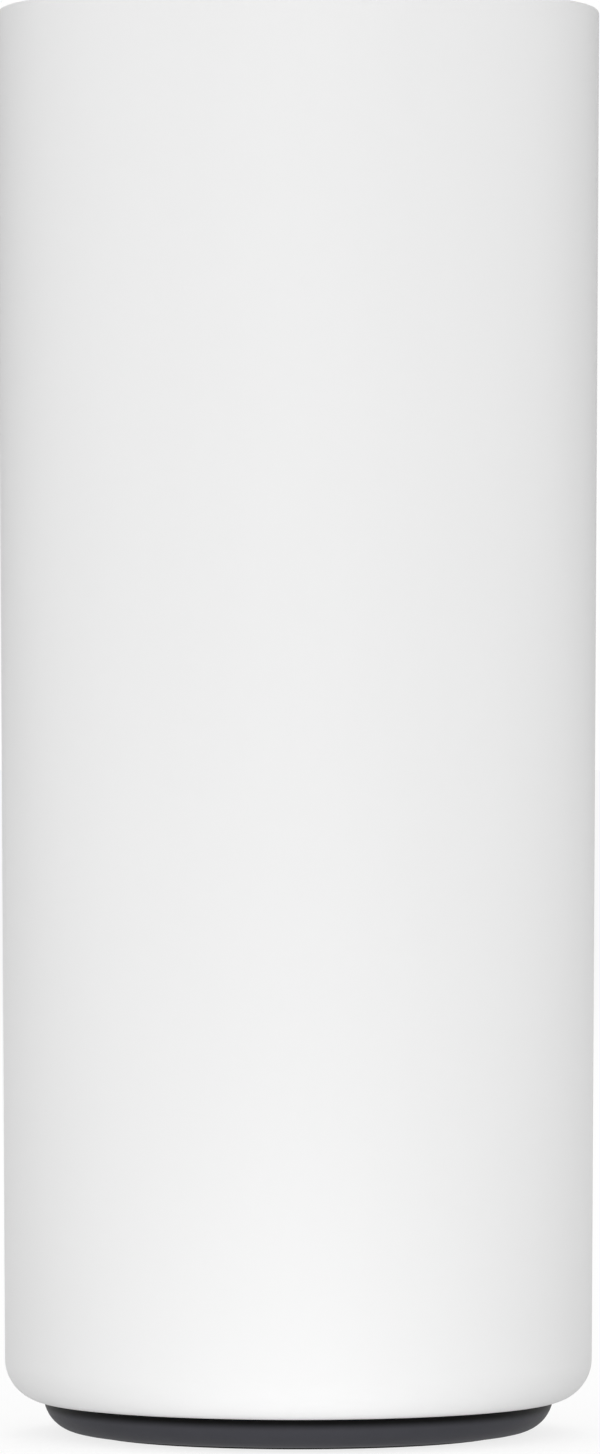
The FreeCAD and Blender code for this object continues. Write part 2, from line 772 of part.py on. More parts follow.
def jack_body(number):
    """The plastic body of one network port: plug cavity, and the narrower slot of the plug's latch."""
    middle = d.jack_first + number * d.jack_pitch
    back = d.jack_face - d.jack_deep
    blank = box(
        f"jack_blank_{number}",
        (d.board_face + SHIELD_SKIN, d.jack_half - SHIELD_SKIN),
        (back + SHIELD_SKIN, d.jack_face - JACK_RECESS),
        (middle - d.jack_tall + SHIELD_SKIN, middle + d.jack_tall - SHIELD_SKIN),
    )
    contact_end, plug_half, latch_half = 6.5, 5.9, 3.1
    depth = (back + contact_end, d.jack_face + THROUGH)
    plug_ends = (middle - plug_half, middle + plug_half)
    cavity = box(f"jack_cavity_{number}", (-4.7, 2.1), depth, plug_ends)
    latch_ends = (middle - latch_half, middle + latch_half)
    latch = box(f"jack_latch_{number}", (2.0, 5.2), depth, latch_ends)
    return cut(f"network_jack_{number + 1}", blank, [cavity, latch])


def jack_shield(number):
    """The pressed metal shield round one network port, open at its mouth."""
    middle = d.jack_first + number * d.jack_pitch
    back = d.jack_face - d.jack_deep
    shell = box(
        f"shield_blank_{number}",
        (d.board_face, d.jack_half),
        (back, d.jack_face),
        (middle - d.jack_tall, middle + d.jack_tall),
    )
    inside = box(
        f"shield_inside_{number}",
        (d.board_face + SHIELD_SKIN, d.jack_half - SHIELD_SKIN),
        (back + SHIELD_SKIN, d.jack_face + THROUGH),
        (middle - d.jack_tall + SHIELD_SKIN, middle + d.jack_tall - SHIELD_SKIN),
    )
    return cut(f"jack_shield_{number + 1}", shell, [inside])


def jack_shields():
    return group("jack_shields", [jack_shield(number) for number in range(NETWORK_JACKS)])


def jack_contacts():
    """The sprung contacts of the network ports, eight slanting strips in each."""
    pitch, thick, long, wide = 1.02, 0.3, 11.0, 0.45
    count, across, slant = 8, -3.4, FreeCAD.Rotation(V(0, 0, 1), 5)
    start = d.jack_face - d.jack_deep + 6.6
    strips = []
    for number in range(NETWORK_JACKS):
        middle = d.jack_first + number * d.jack_pitch
        for i in range(count):
            strip = doc.addObject("Part::Box", f"contact_{number}_{i}")
            strip.Length, strip.Width, strip.Height = thick, long, wide
            low = middle + (i - (count - 1) / 2) * pitch - wide / 2
            place(strip, across, start, low, slant)
            strips.append(strip)
    return group("jack_contacts", strips)


INLET_BACK = 29.2  # y of the bottom of the inlet's barrel


def power_inlet():
    """The power inlet: a block on the board with a round barrel for the plug."""
    half, nose_radius, merge = 4.8, 4.5, 2
    block = box(
        "inlet_block",
        (d.board_face, 4.5),
        (26.0, d.panel_back - 0.2),
        (d.inlet_height - half, d.inlet_height + half),
    )
    start = d.panel_back - merge
    nose = rod("inlet_nose", nose_radius, 0, start, d.inlet_height, d.jack_face - start, ALONG_Y)
    bore_long = d.jack_face + THROUGH - INLET_BACK
    barrel = rod("inlet_barrel", d.inlet_bore, 0, INLET_BACK, d.inlet_height, bore_long, ALONG_Y)
    return cut("power_inlet", fused("inlet_solid", [block, nose]), [barrel])


def power_inlet_pin():
    length = 9.8
    return rod("power_inlet_pin", d.inlet_pin, 0, INLET_BACK, d.inlet_height, length, ALONG_Y)


def switch_body():
    """The housing of the power switch, with the well and the pivot holes of its rocker."""
    half, well_half, well_tall, pivot_radius, pivot_long = 7.5, 3.9, 6.5, 1.06, 9.2
    middle, mouth = d.switch_height, d.jack_face + THROUGH
    shell = box("switch_shell", (d.board_face, 4.8), (25.0, d.jack_face), (middle - half, middle + half))
    well_ends = (middle - well_tall, middle + well_tall)
    well = box("switch_well", (-well_half, well_half), (31.0, mouth), well_ends)
    pivots = rod("switch_pivots", pivot_radius, -pivot_long / 2, d.rocker_pivot, middle, pivot_long, ALONG_X)
    # the end of the block that passes the panel's hole is narrower than the hole
    relief_ends = (middle - half - 1, middle + half + 1)
    relief = box("switch_relief", (-8.0, -4.8), (d.panel_back - 0.3, mouth), relief_ends)
    return cut("switch_body", shell, [well, pivots, relief])


ROCKER_TILT = 8.0  # degrees from level, each way


def power_rocker():
    """The rocker, tilted to its on position, with its two pivot stubs."""
    level = doc.addObject("Part::Feature", "rocker_level")
    tip, waist, half, tip_rounding, stub_radius, stub_half = 5.6, 2.4, 3.6, 0.5, 1.0, 4.4
    corners = [(-tip, 2.2), (-tip, 4.4), (0, 3.5), (tip, 4.4), (tip, 2.2), (waist, -2.6), (-waist, -2.6)]
    loop = [V(-half, v, u) for u, v in corners]
    block = Part.Face(Part.makePolygon(loop + loop[:1])).extrude(V(2 * half, 0, 0))

    def at_tip(edge):
        centre = edge.CenterOfMass
        return abs(abs(centre.z) - tip) < NEAR and centre.y > 4.3

    block = block.makeFillet(tip_rounding, [e for e in block.Edges if at_tip(e)])
    stub = Part.makeCylinder(stub_radius, 2 * stub_half, V(-stub_half, 0, 0), V(1, 0, 0))
    level.Shape = block.fuse(stub).removeSplitter()
    tilt = FreeCAD.Rotation(V(1, 0, 0), ROCKER_TILT)
    level.Placement = FreeCAD.Placement(V(0, d.rocker_pivot.value, d.switch_height.value), tilt)
    return level


PAIR_STEM_END = 2.4  # how far the cap's stem ends behind the panel


def pair_button():
    """The pairing button's cap: a round head, a flange behind the panel, and a stem."""
    flange_thick, flange_radius, stem_radius, stem_long, proud, rounding = 1.2, 4.8, 1.6, 1.4, 0.8, 0.6
    start, high = d.panel_back - flange_thick, d.pair_height
    head = rod("pair_head", d.pair_radius, 0, start, high, d.panel_face + proud - start, ALONG_Y)
    rounded = doc.addObject("Part::Fillet", "pair_head_rounded")
    rounded.Base = head
    doc.recompute()
    front = d.panel_face.value
    numbered = enumerate(head.Shape.Edges, start=1)
    rounded.Edges = [(i, rounding, rounding) for i, e in numbered if e.BoundBox.YMin > front]
    flange = rod("pair_flange", flange_radius, 0, start, high, flange_thick, ALONG_Y)
    stem = rod("pair_stem", stem_radius, 0, d.panel_back - PAIR_STEM_END, high, stem_long, ALONG_Y)
    return fused("pair_button", [rounded, flange, stem])


def pair_switch():
    """The push switch behind the pairing button."""
    half, guide_radius, guide_start, front = 3.2, 1.35, 30.2, 33.0
    ends = (d.pair_height - half, d.pair_height + half)
    block = box("pair_switch_block", (d.board_face, 3.2), (26.0, front), ends)
    length = front + THROUGH - guide_start
    guide = rod("pair_switch_guide", guide_radius, 0, guide_start, d.pair_height, length, ALONG_Y)
    return cut("pair_switch", block, [guide])


def pair_plunger():
    radius, start = 1.2, 31.2
    length = d.panel_back - PAIR_STEM_END - start
    return rod("pair_plunger", radius, 0, start, d.pair_height, length, ALONG_Y)


RESET_STEM = 9.8  # height of the stem's end above the base's inner floor


def reset_button():
    """The reset button: a small cap below, a flange on the base's floor and a stem up to its switch."""
    x, y = d.reset_across, d.reset_back
    cap_radius, cap_tall, cap_recess = 2.3, 2.2, 0.6
    flange_radius, flange_thick, stem_radius, stem_merge = 3.4, 0.9, 1.4, 0.5
    cap = rod("reset_cap", cap_radius, x, y, d.base_underside + cap_recess, cap_tall)
    flange = rod("reset_flange", flange_radius, x, y, d.base_inside, flange_thick)
    stem_tall = RESET_STEM - stem_merge
    stem = rod("reset_stem", stem_radius, x, y, d.base_inside + stem_merge, stem_tall)
    return fused("reset_button", [cap, flange, stem])


def reset_switch():
    """The push switch at the lower edge of the board."""
    wide, half, guide_radius, guide_start, guide_long = 4, 3, 1.15, 13.0, 4.6
    across = (d.board_face, d.board_face + wide)
    block = box("reset_switch_block", across, (d.reset_back - half, d.reset_back + half), (14.4, 18.6))
    guide = rod("reset_switch_guide", guide_radius, d.reset_across, d.reset_back, guide_start, guide_long)
    return cut("reset_switch", block, [guide])


def reset_plunger():
    radius, length = 1.0, 4.1
    start = d.base_inside + RESET_STEM
    return rod("reset_plunger", radius, d.reset_across, d.reset_back, start, length)


# ------------------------------------------------------------------ light, antennas and cables


def light_pipe():
    """The clear plug that carries the light of the lamp to the middle of the cover."""
    head_radius, flange_radius, flange_thick, proud, depth, gap = 2.5, 3.6, 1.15, 0.05, 5.6, 0.05
    head = rod("pipe_head", head_radius, 0, 0, d.cover_centre - depth, depth + proud)
    low = d.cover_centre - d.cover_thick - gap - flange_thick
    flange = rod("pipe_flange", flange_radius, 0, 0, low, flange_thick)
    return fused("light_pipe", [head, flange])


def lamp_board():
    radius = 8.0
    return rod("lamp_board", radius, 0, 0, d.cover_centre - d.lamp_drop, d.lamp_board_thick)


def status_lamp():
    half, tall = 1.6, 1.6
    seat = d.cover_centre - d.lamp_drop + d.lamp_board_thick
    return box("status_lamp", (-half, half), (-half, half), (seat, seat + tall))


def lamp_board_spacers():
    """Two spacers that hold the lamp's board under the cover."""
    radius, reach = 1.3, 5.6
    low = d.cover_centre - d.lamp_drop + d.lamp_board_thick
    tall = d.cover_centre - d.cover_thick - low
    pins = [rod(f"spacer_{i}", radius, x, 0, low, tall) for i, x in enumerate((-reach, reach))]
    return group("lamp_board_spacers", pins)


ANTENNA_ANGLES = (25.0, 155.0, 205.0, 335.0)


def antenna_bracket(name, side):
    """One half of the frame round the heat sinks: two part rings joined by flats for the antennas."""
    band, flat_thick, flat_wide, past = 2.4, 1.6, 14.0, 1.0
    parts = []
    for part, low in (("lower", d.frame_low), ("upper", d.frame_high - band)):
        outer = rod(f"{name}_{part}_outer", d.frame_outer, 0, 0, low, band)
        inner = rod(f"{name}_{part}_inner", d.frame_inner, 0, 0, low - past, band + 2 * past)
        parts.append(cut(f"{name}_{part}_ring", outer, [inner]))
    for degrees in ANTENNA_ANGLES:
        angle = math.radians(degrees)
        if side * math.cos(angle) < 0:
            continue
        flat = doc.addObject("Part::Box", f"{name}_flat_{int(degrees)}")
        flat.Length, flat.Width = flat_thick, flat_wide
        bind(flat, "Height", d.frame_high - d.frame_low)
        across = d.frame_outer - flat_thick
        x = across * math.cos(angle) + flat_wide / 2 * math.sin(angle)
        y = across * math.sin(angle) - flat_wide / 2 * math.cos(angle)
        place(flat, x, y, d.frame_low, FreeCAD.Rotation(V(0, 0, 1), degrees))
        parts.append(flat)
    whole = fused(name + "_whole", parts)
    middle, far = d.board_face - d.board_thick / 2, d.tower_height
    beside = (-far, middle + d.rail_half) if side > 0 else (middle - d.rail_half, far)
    away = box(name + "_away", beside, (-far, far), (size(0), far))
    return cut(name, whole, [away])


def antenna(number, degrees):
    """A strip antenna that stands on a flat of the frame."""
    thick, wide, tall, lift = 0.8, 12.0, 36.0, 8
    strip = doc.addObject("Part::Box", f"antenna_{number}")
    strip.Length, strip.Width, strip.Height = thick, wide, tall
    angle = math.radians(degrees)
    x = d.frame_outer * math.cos(angle) + wide / 2 * math.sin(angle)
    y = d.frame_outer * math.sin(angle) - wide / 2 * math.cos(angle)
    place(strip, x, y, d.frame_low + lift, FreeCAD.Rotation(V(0, 0, 1), degrees))
    return strip


def cable(name, radius, points):
    """A round cable along straight runs that are joined by tangent arcs, as large as the runs allow."""
    share_of_run = 0.45
    edges, here = [], points[0]
    for before, at, after in zip(points, points[1:], points[2:]):
        into, out = (at - before), (after - at)
        turn = into.getAngle(out)
        trim = share_of_run * min(into.Length, out.Length)
        start = at - V(into).normalize() * trim
        end = at + V(out).normalize() * trim
        bend = trim / math.tan(turn / 2)
        inward = (V(out).normalize() - V(into).normalize()).normalize()
        middle = at + inward * (bend / math.cos(turn / 2) - bend)
        edges.append(Part.LineSegment(here, start).toShape())
        edges.append(Part.Arc(start, middle, end).toShape())
        here = end
    edges.append(Part.LineSegment(here, points[-1]).toShape())
    ring = Part.Wire([Part.Edge(Part.Circle(points[0], points[1] - points[0], radius))])
    made = doc.addObject("Part::Feature", name)
    made.Shape = Part.Wire(edges).makePipeShell([ring], True, False)
    return made


CONNECTOR_HEIGHT = 135.0
CONNECTOR_ROW = 29.0  # y of a connector, either side of the axis
CABLE_RADIUS = 0.6
SOCKET_RADIUS, SOCKET_TALL = 1.3, 1.2


def connector_place(degrees):
    """Where the cable of the antenna at an angle meets the board: the face, its side, and the row."""
    angle = math.radians(degrees)
    right = math.cos(angle) > 0
    face = d.board_face if right else d.board_face - d.board_thick
    return face, (1 if right else -1), math.copysign(CONNECTOR_ROW, math.sin(angle))


def antenna_cable(number, degrees):
    """The thin coaxial cable from an antenna down and in to the board."""
    angle = math.radians(degrees)
    heading = V(math.cos(angle), math.sin(angle), 0)
    clearance, antenna_thick = 0.05, 0.8
    out = heading * (d.frame_outer.value + antenna_thick + CABLE_RADIUS + clearance)
    face, side, row = connector_place(degrees)
    end = V(face.value + side * (SOCKET_TALL + 0.1), row, CONNECTOR_HEIGHT)
    rear = math.copysign(1, row)
    points = [
        out + V(0, 0, 155.0),
        out + V(0, 0, 145.0) + heading * 0.25,
        out + V(0, 0, 135.5) - heading * 0.9,
        V(24.0, rear * 29.0, 131.0) if side > 0 else V(-26.0, rear * 28.0, 131.5),
        end + V(9.7 if side > 0 else -7.4, rear * 0.87, -1.8),
        end,
    ]
    return cable(f"antenna_cable_{number}", CABLE_RADIUS, points)


def antenna_sockets():
    """The four coaxial sockets on the board."""
    made = []
    for i, degrees in enumerate(ANTENNA_ANGLES):
        face, side, row = connector_place(degrees)
        start = face if side > 0 else face - SOCKET_TALL
        made.append(rod(f"socket_{i}", SOCKET_RADIUS, start, row, CONNECTOR_HEIGHT, SOCKET_TALL, ALONG_X))
    return group("antenna_sockets", made)


def lamp_cable():
    """The thin cable from the lamp's board to the main board."""
    top = (d.cover_centre - d.lamp_drop).value
    points = [
        V(-3.0, -6.0, top - 0.65),
        V(-3.2, -12.0, top - 2.0),
        V(-2.6, -19.0, 192.5),
        V(-3.4, -24.0, 187.2),
        V(-4.7, -28.0, 185.4),
    ]
    return cable("lamp_cable", CABLE_RADIUS, points)


def lamp_socket():
    face, tall = d.board_face, 2.6
    return box("lamp_socket", (face, face + tall), (-31.5, -28.2), (182.5, 188.0))


# ------------------------------------------------------------------ fasteners


def base_screws():
    """The four screws from the underside into the tray, with their heads under the rubber foot."""
    shank_radius, shank_low, shank_long, head_radius, head_low, head_tall = 1.5, 2.0, 9.4, 2.8, 0.3, 1.9
    made = []
    for i in range(BASE_SCREWS):
        x, y = around(d.screw_circle, SCREW_START + 360 / BASE_SCREWS * i)
        shank = rod(f"base_shank_{i}", shank_radius, x, y, d.foot_seat + shank_low, shank_long)
        head = rod(f"base_head_{i}", head_radius, x, y, d.foot_seat + head_low, head_tall)
        made.append(fused(f"base_screw_{i}", [shank, head]))
    return group("base_screws", made)


def cover_screws():
    """The three screws that hold the top cover to the chassis ring."""
    shank_radius, shank_long, head_radius, head_tall, merge = 0.9, 7.0, 1.8, 1.2, 0.1
    made = []
    for i in range(COVER_POSTS):
        x, y = around(d.post_circle, POST_START + 360 / COVER_POSTS * i)
        shank = rod(f"cover_shank_{i}", shank_radius, x, y, d.ring_low - merge, shank_long)
        head = rod(f"cover_head_{i}", head_radius, x, y, d.ring_low - head_tall, head_tall)
        made.append(fused(f"cover_screw_{i}", [shank, head]))
    return group("cover_screws", made)


# ------------------------------------------------------------------ the assembly


def assemble():
    """Builds every piece, and returns them by node name."""
    made = {
        "outer_sleeve": outer_sleeve(),
        "base_dish": base_dish(),
        "rubber_foot": rubber_foot(),
        "rating_label": rating_label(),
        "top_vent_cover": top_vent_cover(),
        "port_panel": port_panel(),
        "chassis_tray": chassis_tray(),
        "front_rail": board_rail("front_rail", -1, d.tray_high),
        "rear_rail": board_rail("rear_rail", 1, d.panel_high + 2),
        "top_ring": top_ring(),
        "main_board": main_board(),
        "heat_sink_right": heat_sink("heat_sink_right", 1),
        "heat_sink_left": heat_sink("heat_sink_left", -1),
        "heat_sink_screws": heat_sink_screws(),
        "processor_shield": shield("processor_shield", 1, (104.0, 134.0)),
        "radio_shield_right": shield("radio_shield_right", 1, (140.0, 166.0)),
        "radio_shield_left": shield("radio_shield_left", -1, (104.0, 166.0)),
        "processor_pad": thermal_pad("processor_pad", 1, (110.0, 128.0)),
        "radio_pad_right": thermal_pad("radio_pad_right", 1, (144.0, 162.0)),
        "radio_pad_left": thermal_pad("radio_pad_left", -1, (110.0, 160.0)),
        "processor_chip": processor(),
        "capacitors": capacitors(),
        "network_transformers": transformers(),
        "jack_shields": jack_shields(),
        "jack_contacts": jack_contacts(),
        "power_inlet": power_inlet(),
        "power_inlet_pin": power_inlet_pin(),
        "switch_body": switch_body(),
        "power_rocker": power_rocker(),
        "pair_button": pair_button(),
        "pair_switch": pair_switch(),
        "pair_plunger": pair_plunger(),
        "reset_button": reset_button(),
        "reset_switch": reset_switch(),
        "reset_plunger": reset_plunger(),
        "light_pipe": light_pipe(),
        "lamp_board": lamp_board(),
        "status_lamp": status_lamp(),
        "lamp_board_spacers": lamp_board_spacers(),
        "antenna_bracket_right": antenna_bracket("antenna_bracket_right", 1),
        "antenna_bracket_left": antenna_bracket("antenna_bracket_left", -1),
        "antenna_sockets": antenna_sockets(),
        "lamp_cable": lamp_cable(),
        "lamp_socket": lamp_socket(),
        "base_screws": base_screws(),
        "cover_screws": cover_screws(),
    }
    for number in range(NETWORK_JACKS):
        made[f"network_jack_{number + 1}"] = jack_body(number)
    for number, degrees in enumerate(ANTENNA_ANGLES, start=1):
        made[f"antenna_{number}"] = antenna(number, degrees)
        made[f"antenna_cable_{number}"] = antenna_cable(number, degrees)
    return made


def check_document():
    failed = [o.Name for o in doc.Objects if "Invalid" in o.State or "Error" in o.State]
    if failed:
        raise RuntimeError(f"failed objects: {failed}")


def export(nodes):
    os.makedirs("parts", exist_ok=True)
    for name, thing in nodes.items():
        shape = thing.Shape
        if shape.isNull() or not shape.isValid() or not shape.Solids:
            raise RuntimeError(f"{name} has no valid solid")
        thing.Label = name
        shape.exportStep(os.path.join("parts", name + ".step"))
        print(f"{name}: {len(shape.Solids)} solids, {shape.Volume:.0f} mm3")


nodes = assemble()
doc.recompute()
check_document()
export(nodes)
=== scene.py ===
"""Looks for a round tower router: finishes, shell, marks, port lights, small parts and stage."""

import json
import math
import random

import bpy
from bpy.props import FloatProperty, FloatVectorProperty, IntProperty, PointerProperty
from bpy.types import Operator, Panel, PropertyGroup
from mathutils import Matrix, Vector


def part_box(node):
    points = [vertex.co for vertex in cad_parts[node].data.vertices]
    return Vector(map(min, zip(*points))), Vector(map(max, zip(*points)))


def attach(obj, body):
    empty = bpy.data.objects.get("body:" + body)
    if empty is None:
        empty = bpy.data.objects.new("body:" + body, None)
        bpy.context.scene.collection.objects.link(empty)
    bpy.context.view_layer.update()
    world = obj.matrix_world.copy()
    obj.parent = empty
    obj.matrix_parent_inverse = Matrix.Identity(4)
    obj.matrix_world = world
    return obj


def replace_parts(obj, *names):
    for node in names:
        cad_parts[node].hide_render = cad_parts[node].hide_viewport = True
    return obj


bl_info = {
    "name": "Tower Router Looks",
    "version": (1, 0, 0),
    "blender": (4, 5, 0),
    "location": "View3D > Sidebar > Router",
    "description": "Finishes, fine pieces and a studio for a round tower router",
    "category": "Object",
}

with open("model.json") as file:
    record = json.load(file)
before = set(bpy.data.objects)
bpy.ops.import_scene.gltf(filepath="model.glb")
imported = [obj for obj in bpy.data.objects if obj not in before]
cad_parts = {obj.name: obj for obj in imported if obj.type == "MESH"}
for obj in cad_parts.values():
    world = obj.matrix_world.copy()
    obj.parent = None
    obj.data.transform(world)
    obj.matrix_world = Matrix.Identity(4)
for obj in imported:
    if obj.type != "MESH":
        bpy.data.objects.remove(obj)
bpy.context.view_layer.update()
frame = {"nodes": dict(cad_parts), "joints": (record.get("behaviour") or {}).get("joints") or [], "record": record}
NODES = frame["nodes"]
MM = 0.001

SLEEVE_LOW, SLEEVE_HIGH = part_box("outer_sleeve")
PANEL_LOW, PANEL_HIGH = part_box("port_panel")


# ------------------------------------------------------------------ settings


class ShellSettings(PropertyGroup):
    draft: FloatProperty(
        name="Draft", description="How far the shell narrows from its rim to its heel",
        default=1.1 * MM, unit="LENGTH",
    )
    wall: FloatProperty(
        name="Wall", description="Wall of the shell", default=2.2 * MM, unit="LENGTH"
    )
    heel: FloatProperty(
        name="Heel", description="Rounding of the shell's lower edge",
        default=6.3 * MM, unit="LENGTH",
    )
    lip: FloatProperty(
        name="Lip", description="Radius of the opening underneath", default=34.6 * MM, unit="LENGTH"
    )
    rim: FloatProperty(
        name="Rim", description="Rounding of the rim", default=0.7 * MM, unit="LENGTH"
    )
    facets: IntProperty(
        name="Facets", description="Facets round the shell", default=256, min=64, max=512
    )
    colour: FloatVectorProperty(
        name="Shell colour", description="White of the shell and the cover",
        subtype="COLOR", size=3, min=0, max=1, default=(0.85, 0.85, 0.85),
    )


class DetailSettings(PropertyGroup):
    base_colour: FloatVectorProperty(
        name="Base colour", description="Charcoal of the base and the port panel",
        subtype="COLOR", size=3, min=0, max=1, default=(0.018, 0.018, 0.021),
    )
    mark_colour: FloatVectorProperty(
        name="Mark colour", description="Ink of the marks on the switch and the ports",
        subtype="COLOR", size=3, min=0, max=1, default=(0.55, 0.56, 0.57),
    )
    mark_size: FloatProperty(
        name="Mark size", description="Height of a printed mark", default=2.2 * MM, unit="LENGTH"
    )


class StageSettings(PropertyGroup):
    distance: FloatProperty(
        name="Camera distance", description="From the camera to the tower's axis",
        default=1.30, unit="LENGTH",
    )
    eye_height: FloatProperty(
        name="Camera height", description="Height of the level camera",
        default=104.4 * MM, unit="LENGTH",
    )
    lens: FloatProperty(name="Lens", description="Focal length in millimetres", default=217.5)
    room: FloatProperty(
        name="Room light", description="Strength of the light from the front half", default=0.91
    )
    shade: FloatProperty(
        name="Room shade", description="Strength of the light from behind", default=0.15
    )
    key: FloatProperty(
        name="Front light", description="Power of the front softbox in watts", default=4.4
    )
    glow: FloatProperty(
        name="Floor glow", description="How far the floor is lifted to white", default=0.80
    )
    bounce: FloatProperty(
        name="Floor bounce", description="Extra light that the floor throws up", default=0.07
    )
    pool: FloatProperty(
        name="Floor pool", description="Extra bounce in front of the tower", default=0.44
    )
    # Painted shadow on the floor at the tower's sides.
    flank_shadow: FloatProperty(
        name="Floor flanks", description="How far the floor is dimmed at the sides", default=0.45
    )
    ring: FloatProperty(
        name="Floor ring", description="Extra bounce close round the base", default=0.26
    )


# ------------------------------------------------------------------ shader nodes


class Value:
    """A number that varies over a surface. Arithmetic on it adds Math nodes."""

    def __init__(self, paint, socket):
        self.paint = paint
        self.socket = socket

    def math(self, operation, first, second):
        made = self.paint.node("ShaderNodeMath", {"operation": operation}, {0: first, 1: second})
        return Value(self.paint, made.outputs[0])

    def __add__(self, other):
        return self.math("ADD", self, other)

    __radd__ = __add__

    def __sub__(self, other):
        return self.math("SUBTRACT", self, other)

    def __rsub__(self, other):
        return self.math("SUBTRACT", other, self)

    def __mul__(self, other):
        return self.math("MULTIPLY", self, other)

    __rmul__ = __mul__

    def __truediv__(self, other):
        return self.math("DIVIDE", self, other)

    def __rtruediv__(self, other):
        return self.math("DIVIDE", other, self)

    def __gt__(self, other):
        return self.math("GREATER_THAN", self, other)

    def __lt__(self, other):
        return self.math("LESS_THAN", self, other)

    def power(self, other):
        return self.math("POWER", self, other)

    def sine(self):
        return self.math("SINE", self, 0.0)


class Paint:
    """A material with one Principled shader, and short ways to add nodes to it."""

    def __init__(self, name, roughness, metallic=0.0, **constants):
        self.material = bpy.data.materials.new(name)
        self.material.use_nodes = True
        self.tree = self.material.node_tree
        self.shader = self.tree.nodes["Principled BSDF"]
        self.set("Roughness", roughness)
        self.set("Metallic", metallic)
        for key, value in constants.items():
            self.set(key.replace("_", " ").title().replace("Ior", "IOR"), value)
        self.place = self.node("ShaderNodeTexCoord").outputs["Object"]

    def set(self, socket, value):
        self.join(value, self.shader.inputs[socket])

    def join(self, value, socket):
        if isinstance(value, Value):
            value = value.socket
        if isinstance(value, bpy.types.NodeSocket):
            self.tree.links.new(value, socket)
        else:
            socket.default_value = value

    def node(self, kind, settings=None, values=None):
        """Adds a node: its settings first, then the values or links of its sockets."""
        made = self.tree.nodes.new(kind)
        for key, value in (settings or {}).items():
            if key == "stops":
                self.set_stops(made.color_ramp, value)
            else:
                setattr(made, key, value)
        for key, value in (values or {}).items():
            self.join(value, made.inputs[key])
        return made

    @staticmethod
    def set_stops(ramp, stops):
        while len(ramp.elements) < len(stops):
            ramp.elements.new(0.5)
        for element, (position, colour) in zip(ramp.elements, stops):
            element.position = position
            element.color = colour

    def noise(self, size, detail=3.0, roughness=0.5, stretch=None):
        """Noise from 0 to 1 whose features are about that size, in metres."""
        place = self.place
        if stretch:
            mapping = self.node("ShaderNodeMapping", None, {"Vector": place, "Scale": stretch})
            place = mapping.outputs[0]
        values = {"Vector": place, "Scale": 1 / size, "Detail": detail, "Roughness": roughness}
        return Value(self, self.node("ShaderNodeTexNoise", None, values).outputs[0])

    def axes(self):
        split = self.node("ShaderNodeSeparateXYZ", None, {"Vector": self.place})
        return [Value(self, split.outputs[i]) for i in range(3)]

    def mix(self, share, first, second):
        made = self.node("ShaderNodeMix", {"data_type": "RGBA"}, {"Factor": share})
        self.join(first, made.inputs[6])
        self.join(second, made.inputs[7])
        return made.outputs[2]

    def bump(self, height, depth):
        values = {"Height": height, "Distance": depth, "Strength": 1.0}
        self.set("Normal", self.node("ShaderNodeBump", None, values).outputs[0])


def rgba(colour, factor=1.0):
    return (*(min(1.0, c * factor) for c in colour), 1.0)


def grey(level):
    return (level, level, level, 1)


# ------------------------------------------------------------------ finishes


def moulded(name, colour, roughness, grain=0.45 * MM, depth=0.012 * MM, mottle=0.03):
    """Injection-moulded plastic: a spark-eroded grain, and faintly uneven colour and gloss."""
    paint = Paint(name, roughness)
    cloud = paint.noise(18 * MM, 4)
    fine = paint.noise(grain, 2)
    paint.set("Base Color", paint.mix(cloud, rgba(colour, 1 - mottle), rgba(colour, 1 + mottle)))
    paint.set("Roughness", roughness - 0.04 + cloud * 0.05 + fine * 0.03)
    paint.bump(fine, depth)
    return paint.material


def white_shell(name, colour):
    """The shell's satin white: very fine grain, and faint flow marks up the wall."""
    paint = Paint(name, 0.42, specular_ior_level=0.45)
    cloud = paint.noise(45 * MM, 3)
    flow = paint.noise(12 * MM, 3, stretch=(1, 1, 0.12))
    fine = paint.noise(0.30 * MM, 2)
    tone = cloud * 0.6 + flow * 0.4
    paint.set("Base Color", paint.mix(tone, rgba(colour, 0.985), rgba(colour, 1.012)))
    paint.set("Roughness", 0.38 + flow * 0.06 + fine * 0.04)
    paint.bump(fine, 0.004 * MM)
    return paint.material


def circuit_board(name):
    """Green solder mask over copper: tracks along and across, with plated holes between them."""
    paint = Paint(name, 0.32, coat_weight=0.25)
    _, y, z = paint.axes()
    flat = paint.node("ShaderNodeCombineXYZ", None, {"X": y, "Y": z}).outputs[0]
    bricks = {"Vector": flat, "Scale": 1.0, "Mortar Size": 0.18 * MM, "Brick Width": 9 * MM,
              "Row Height": 1.6 * MM, "Mortar Smooth": 0.1}
    tracks = Value(paint, paint.node("ShaderNodeTexBrick", {"offset": 0.37}, bricks).outputs["Fac"])
    cells = {"Vector": flat, "Scale": 1 / (3.1 * MM), "Randomness": 0.8}
    holes = Value(paint, paint.node("ShaderNodeTexVoronoi", None, cells).outputs["Distance"]) < 0.10
    mask = paint.mix(tracks, (0.012, 0.095, 0.050, 1), (0.022, 0.165, 0.085, 1))
    paint.set("Base Color", paint.mix(holes, mask, (0.72, 0.55, 0.25, 1)))
    paint.set("Metallic", holes * 0.9)
    paint.bump(tracks - holes, 0.03 * MM)
    return paint.material


def metal(name, colour, roughness, stretch, size=0.8 * MM, depth=0.01 * MM):
    """Worked metal, with draw or brush lines along the axis that has the smallest scale."""
    paint = Paint(name, roughness, 1.0)
    lines = paint.noise(size, 3, 0.6, stretch)
    cloud = paint.noise(9 * MM, 3)
    paint.set("Base Color", paint.mix(cloud, rgba(colour, 0.88), rgba(colour, 1.04)))
    paint.set("Roughness", roughness - 0.08 + lines * 0.16)
    paint.bump(lines, depth)
    return paint.material


# Heights between which the base's painted shade fades from black under the shell to a painted reflection at its
# foot, and the height that only the port panel is above.
PAINTED_SHADE_FROM, PAINTED_SHADE_TO = 4.4 * MM, 3.1 * MM
PANEL_FOOT = 9.0 * MM


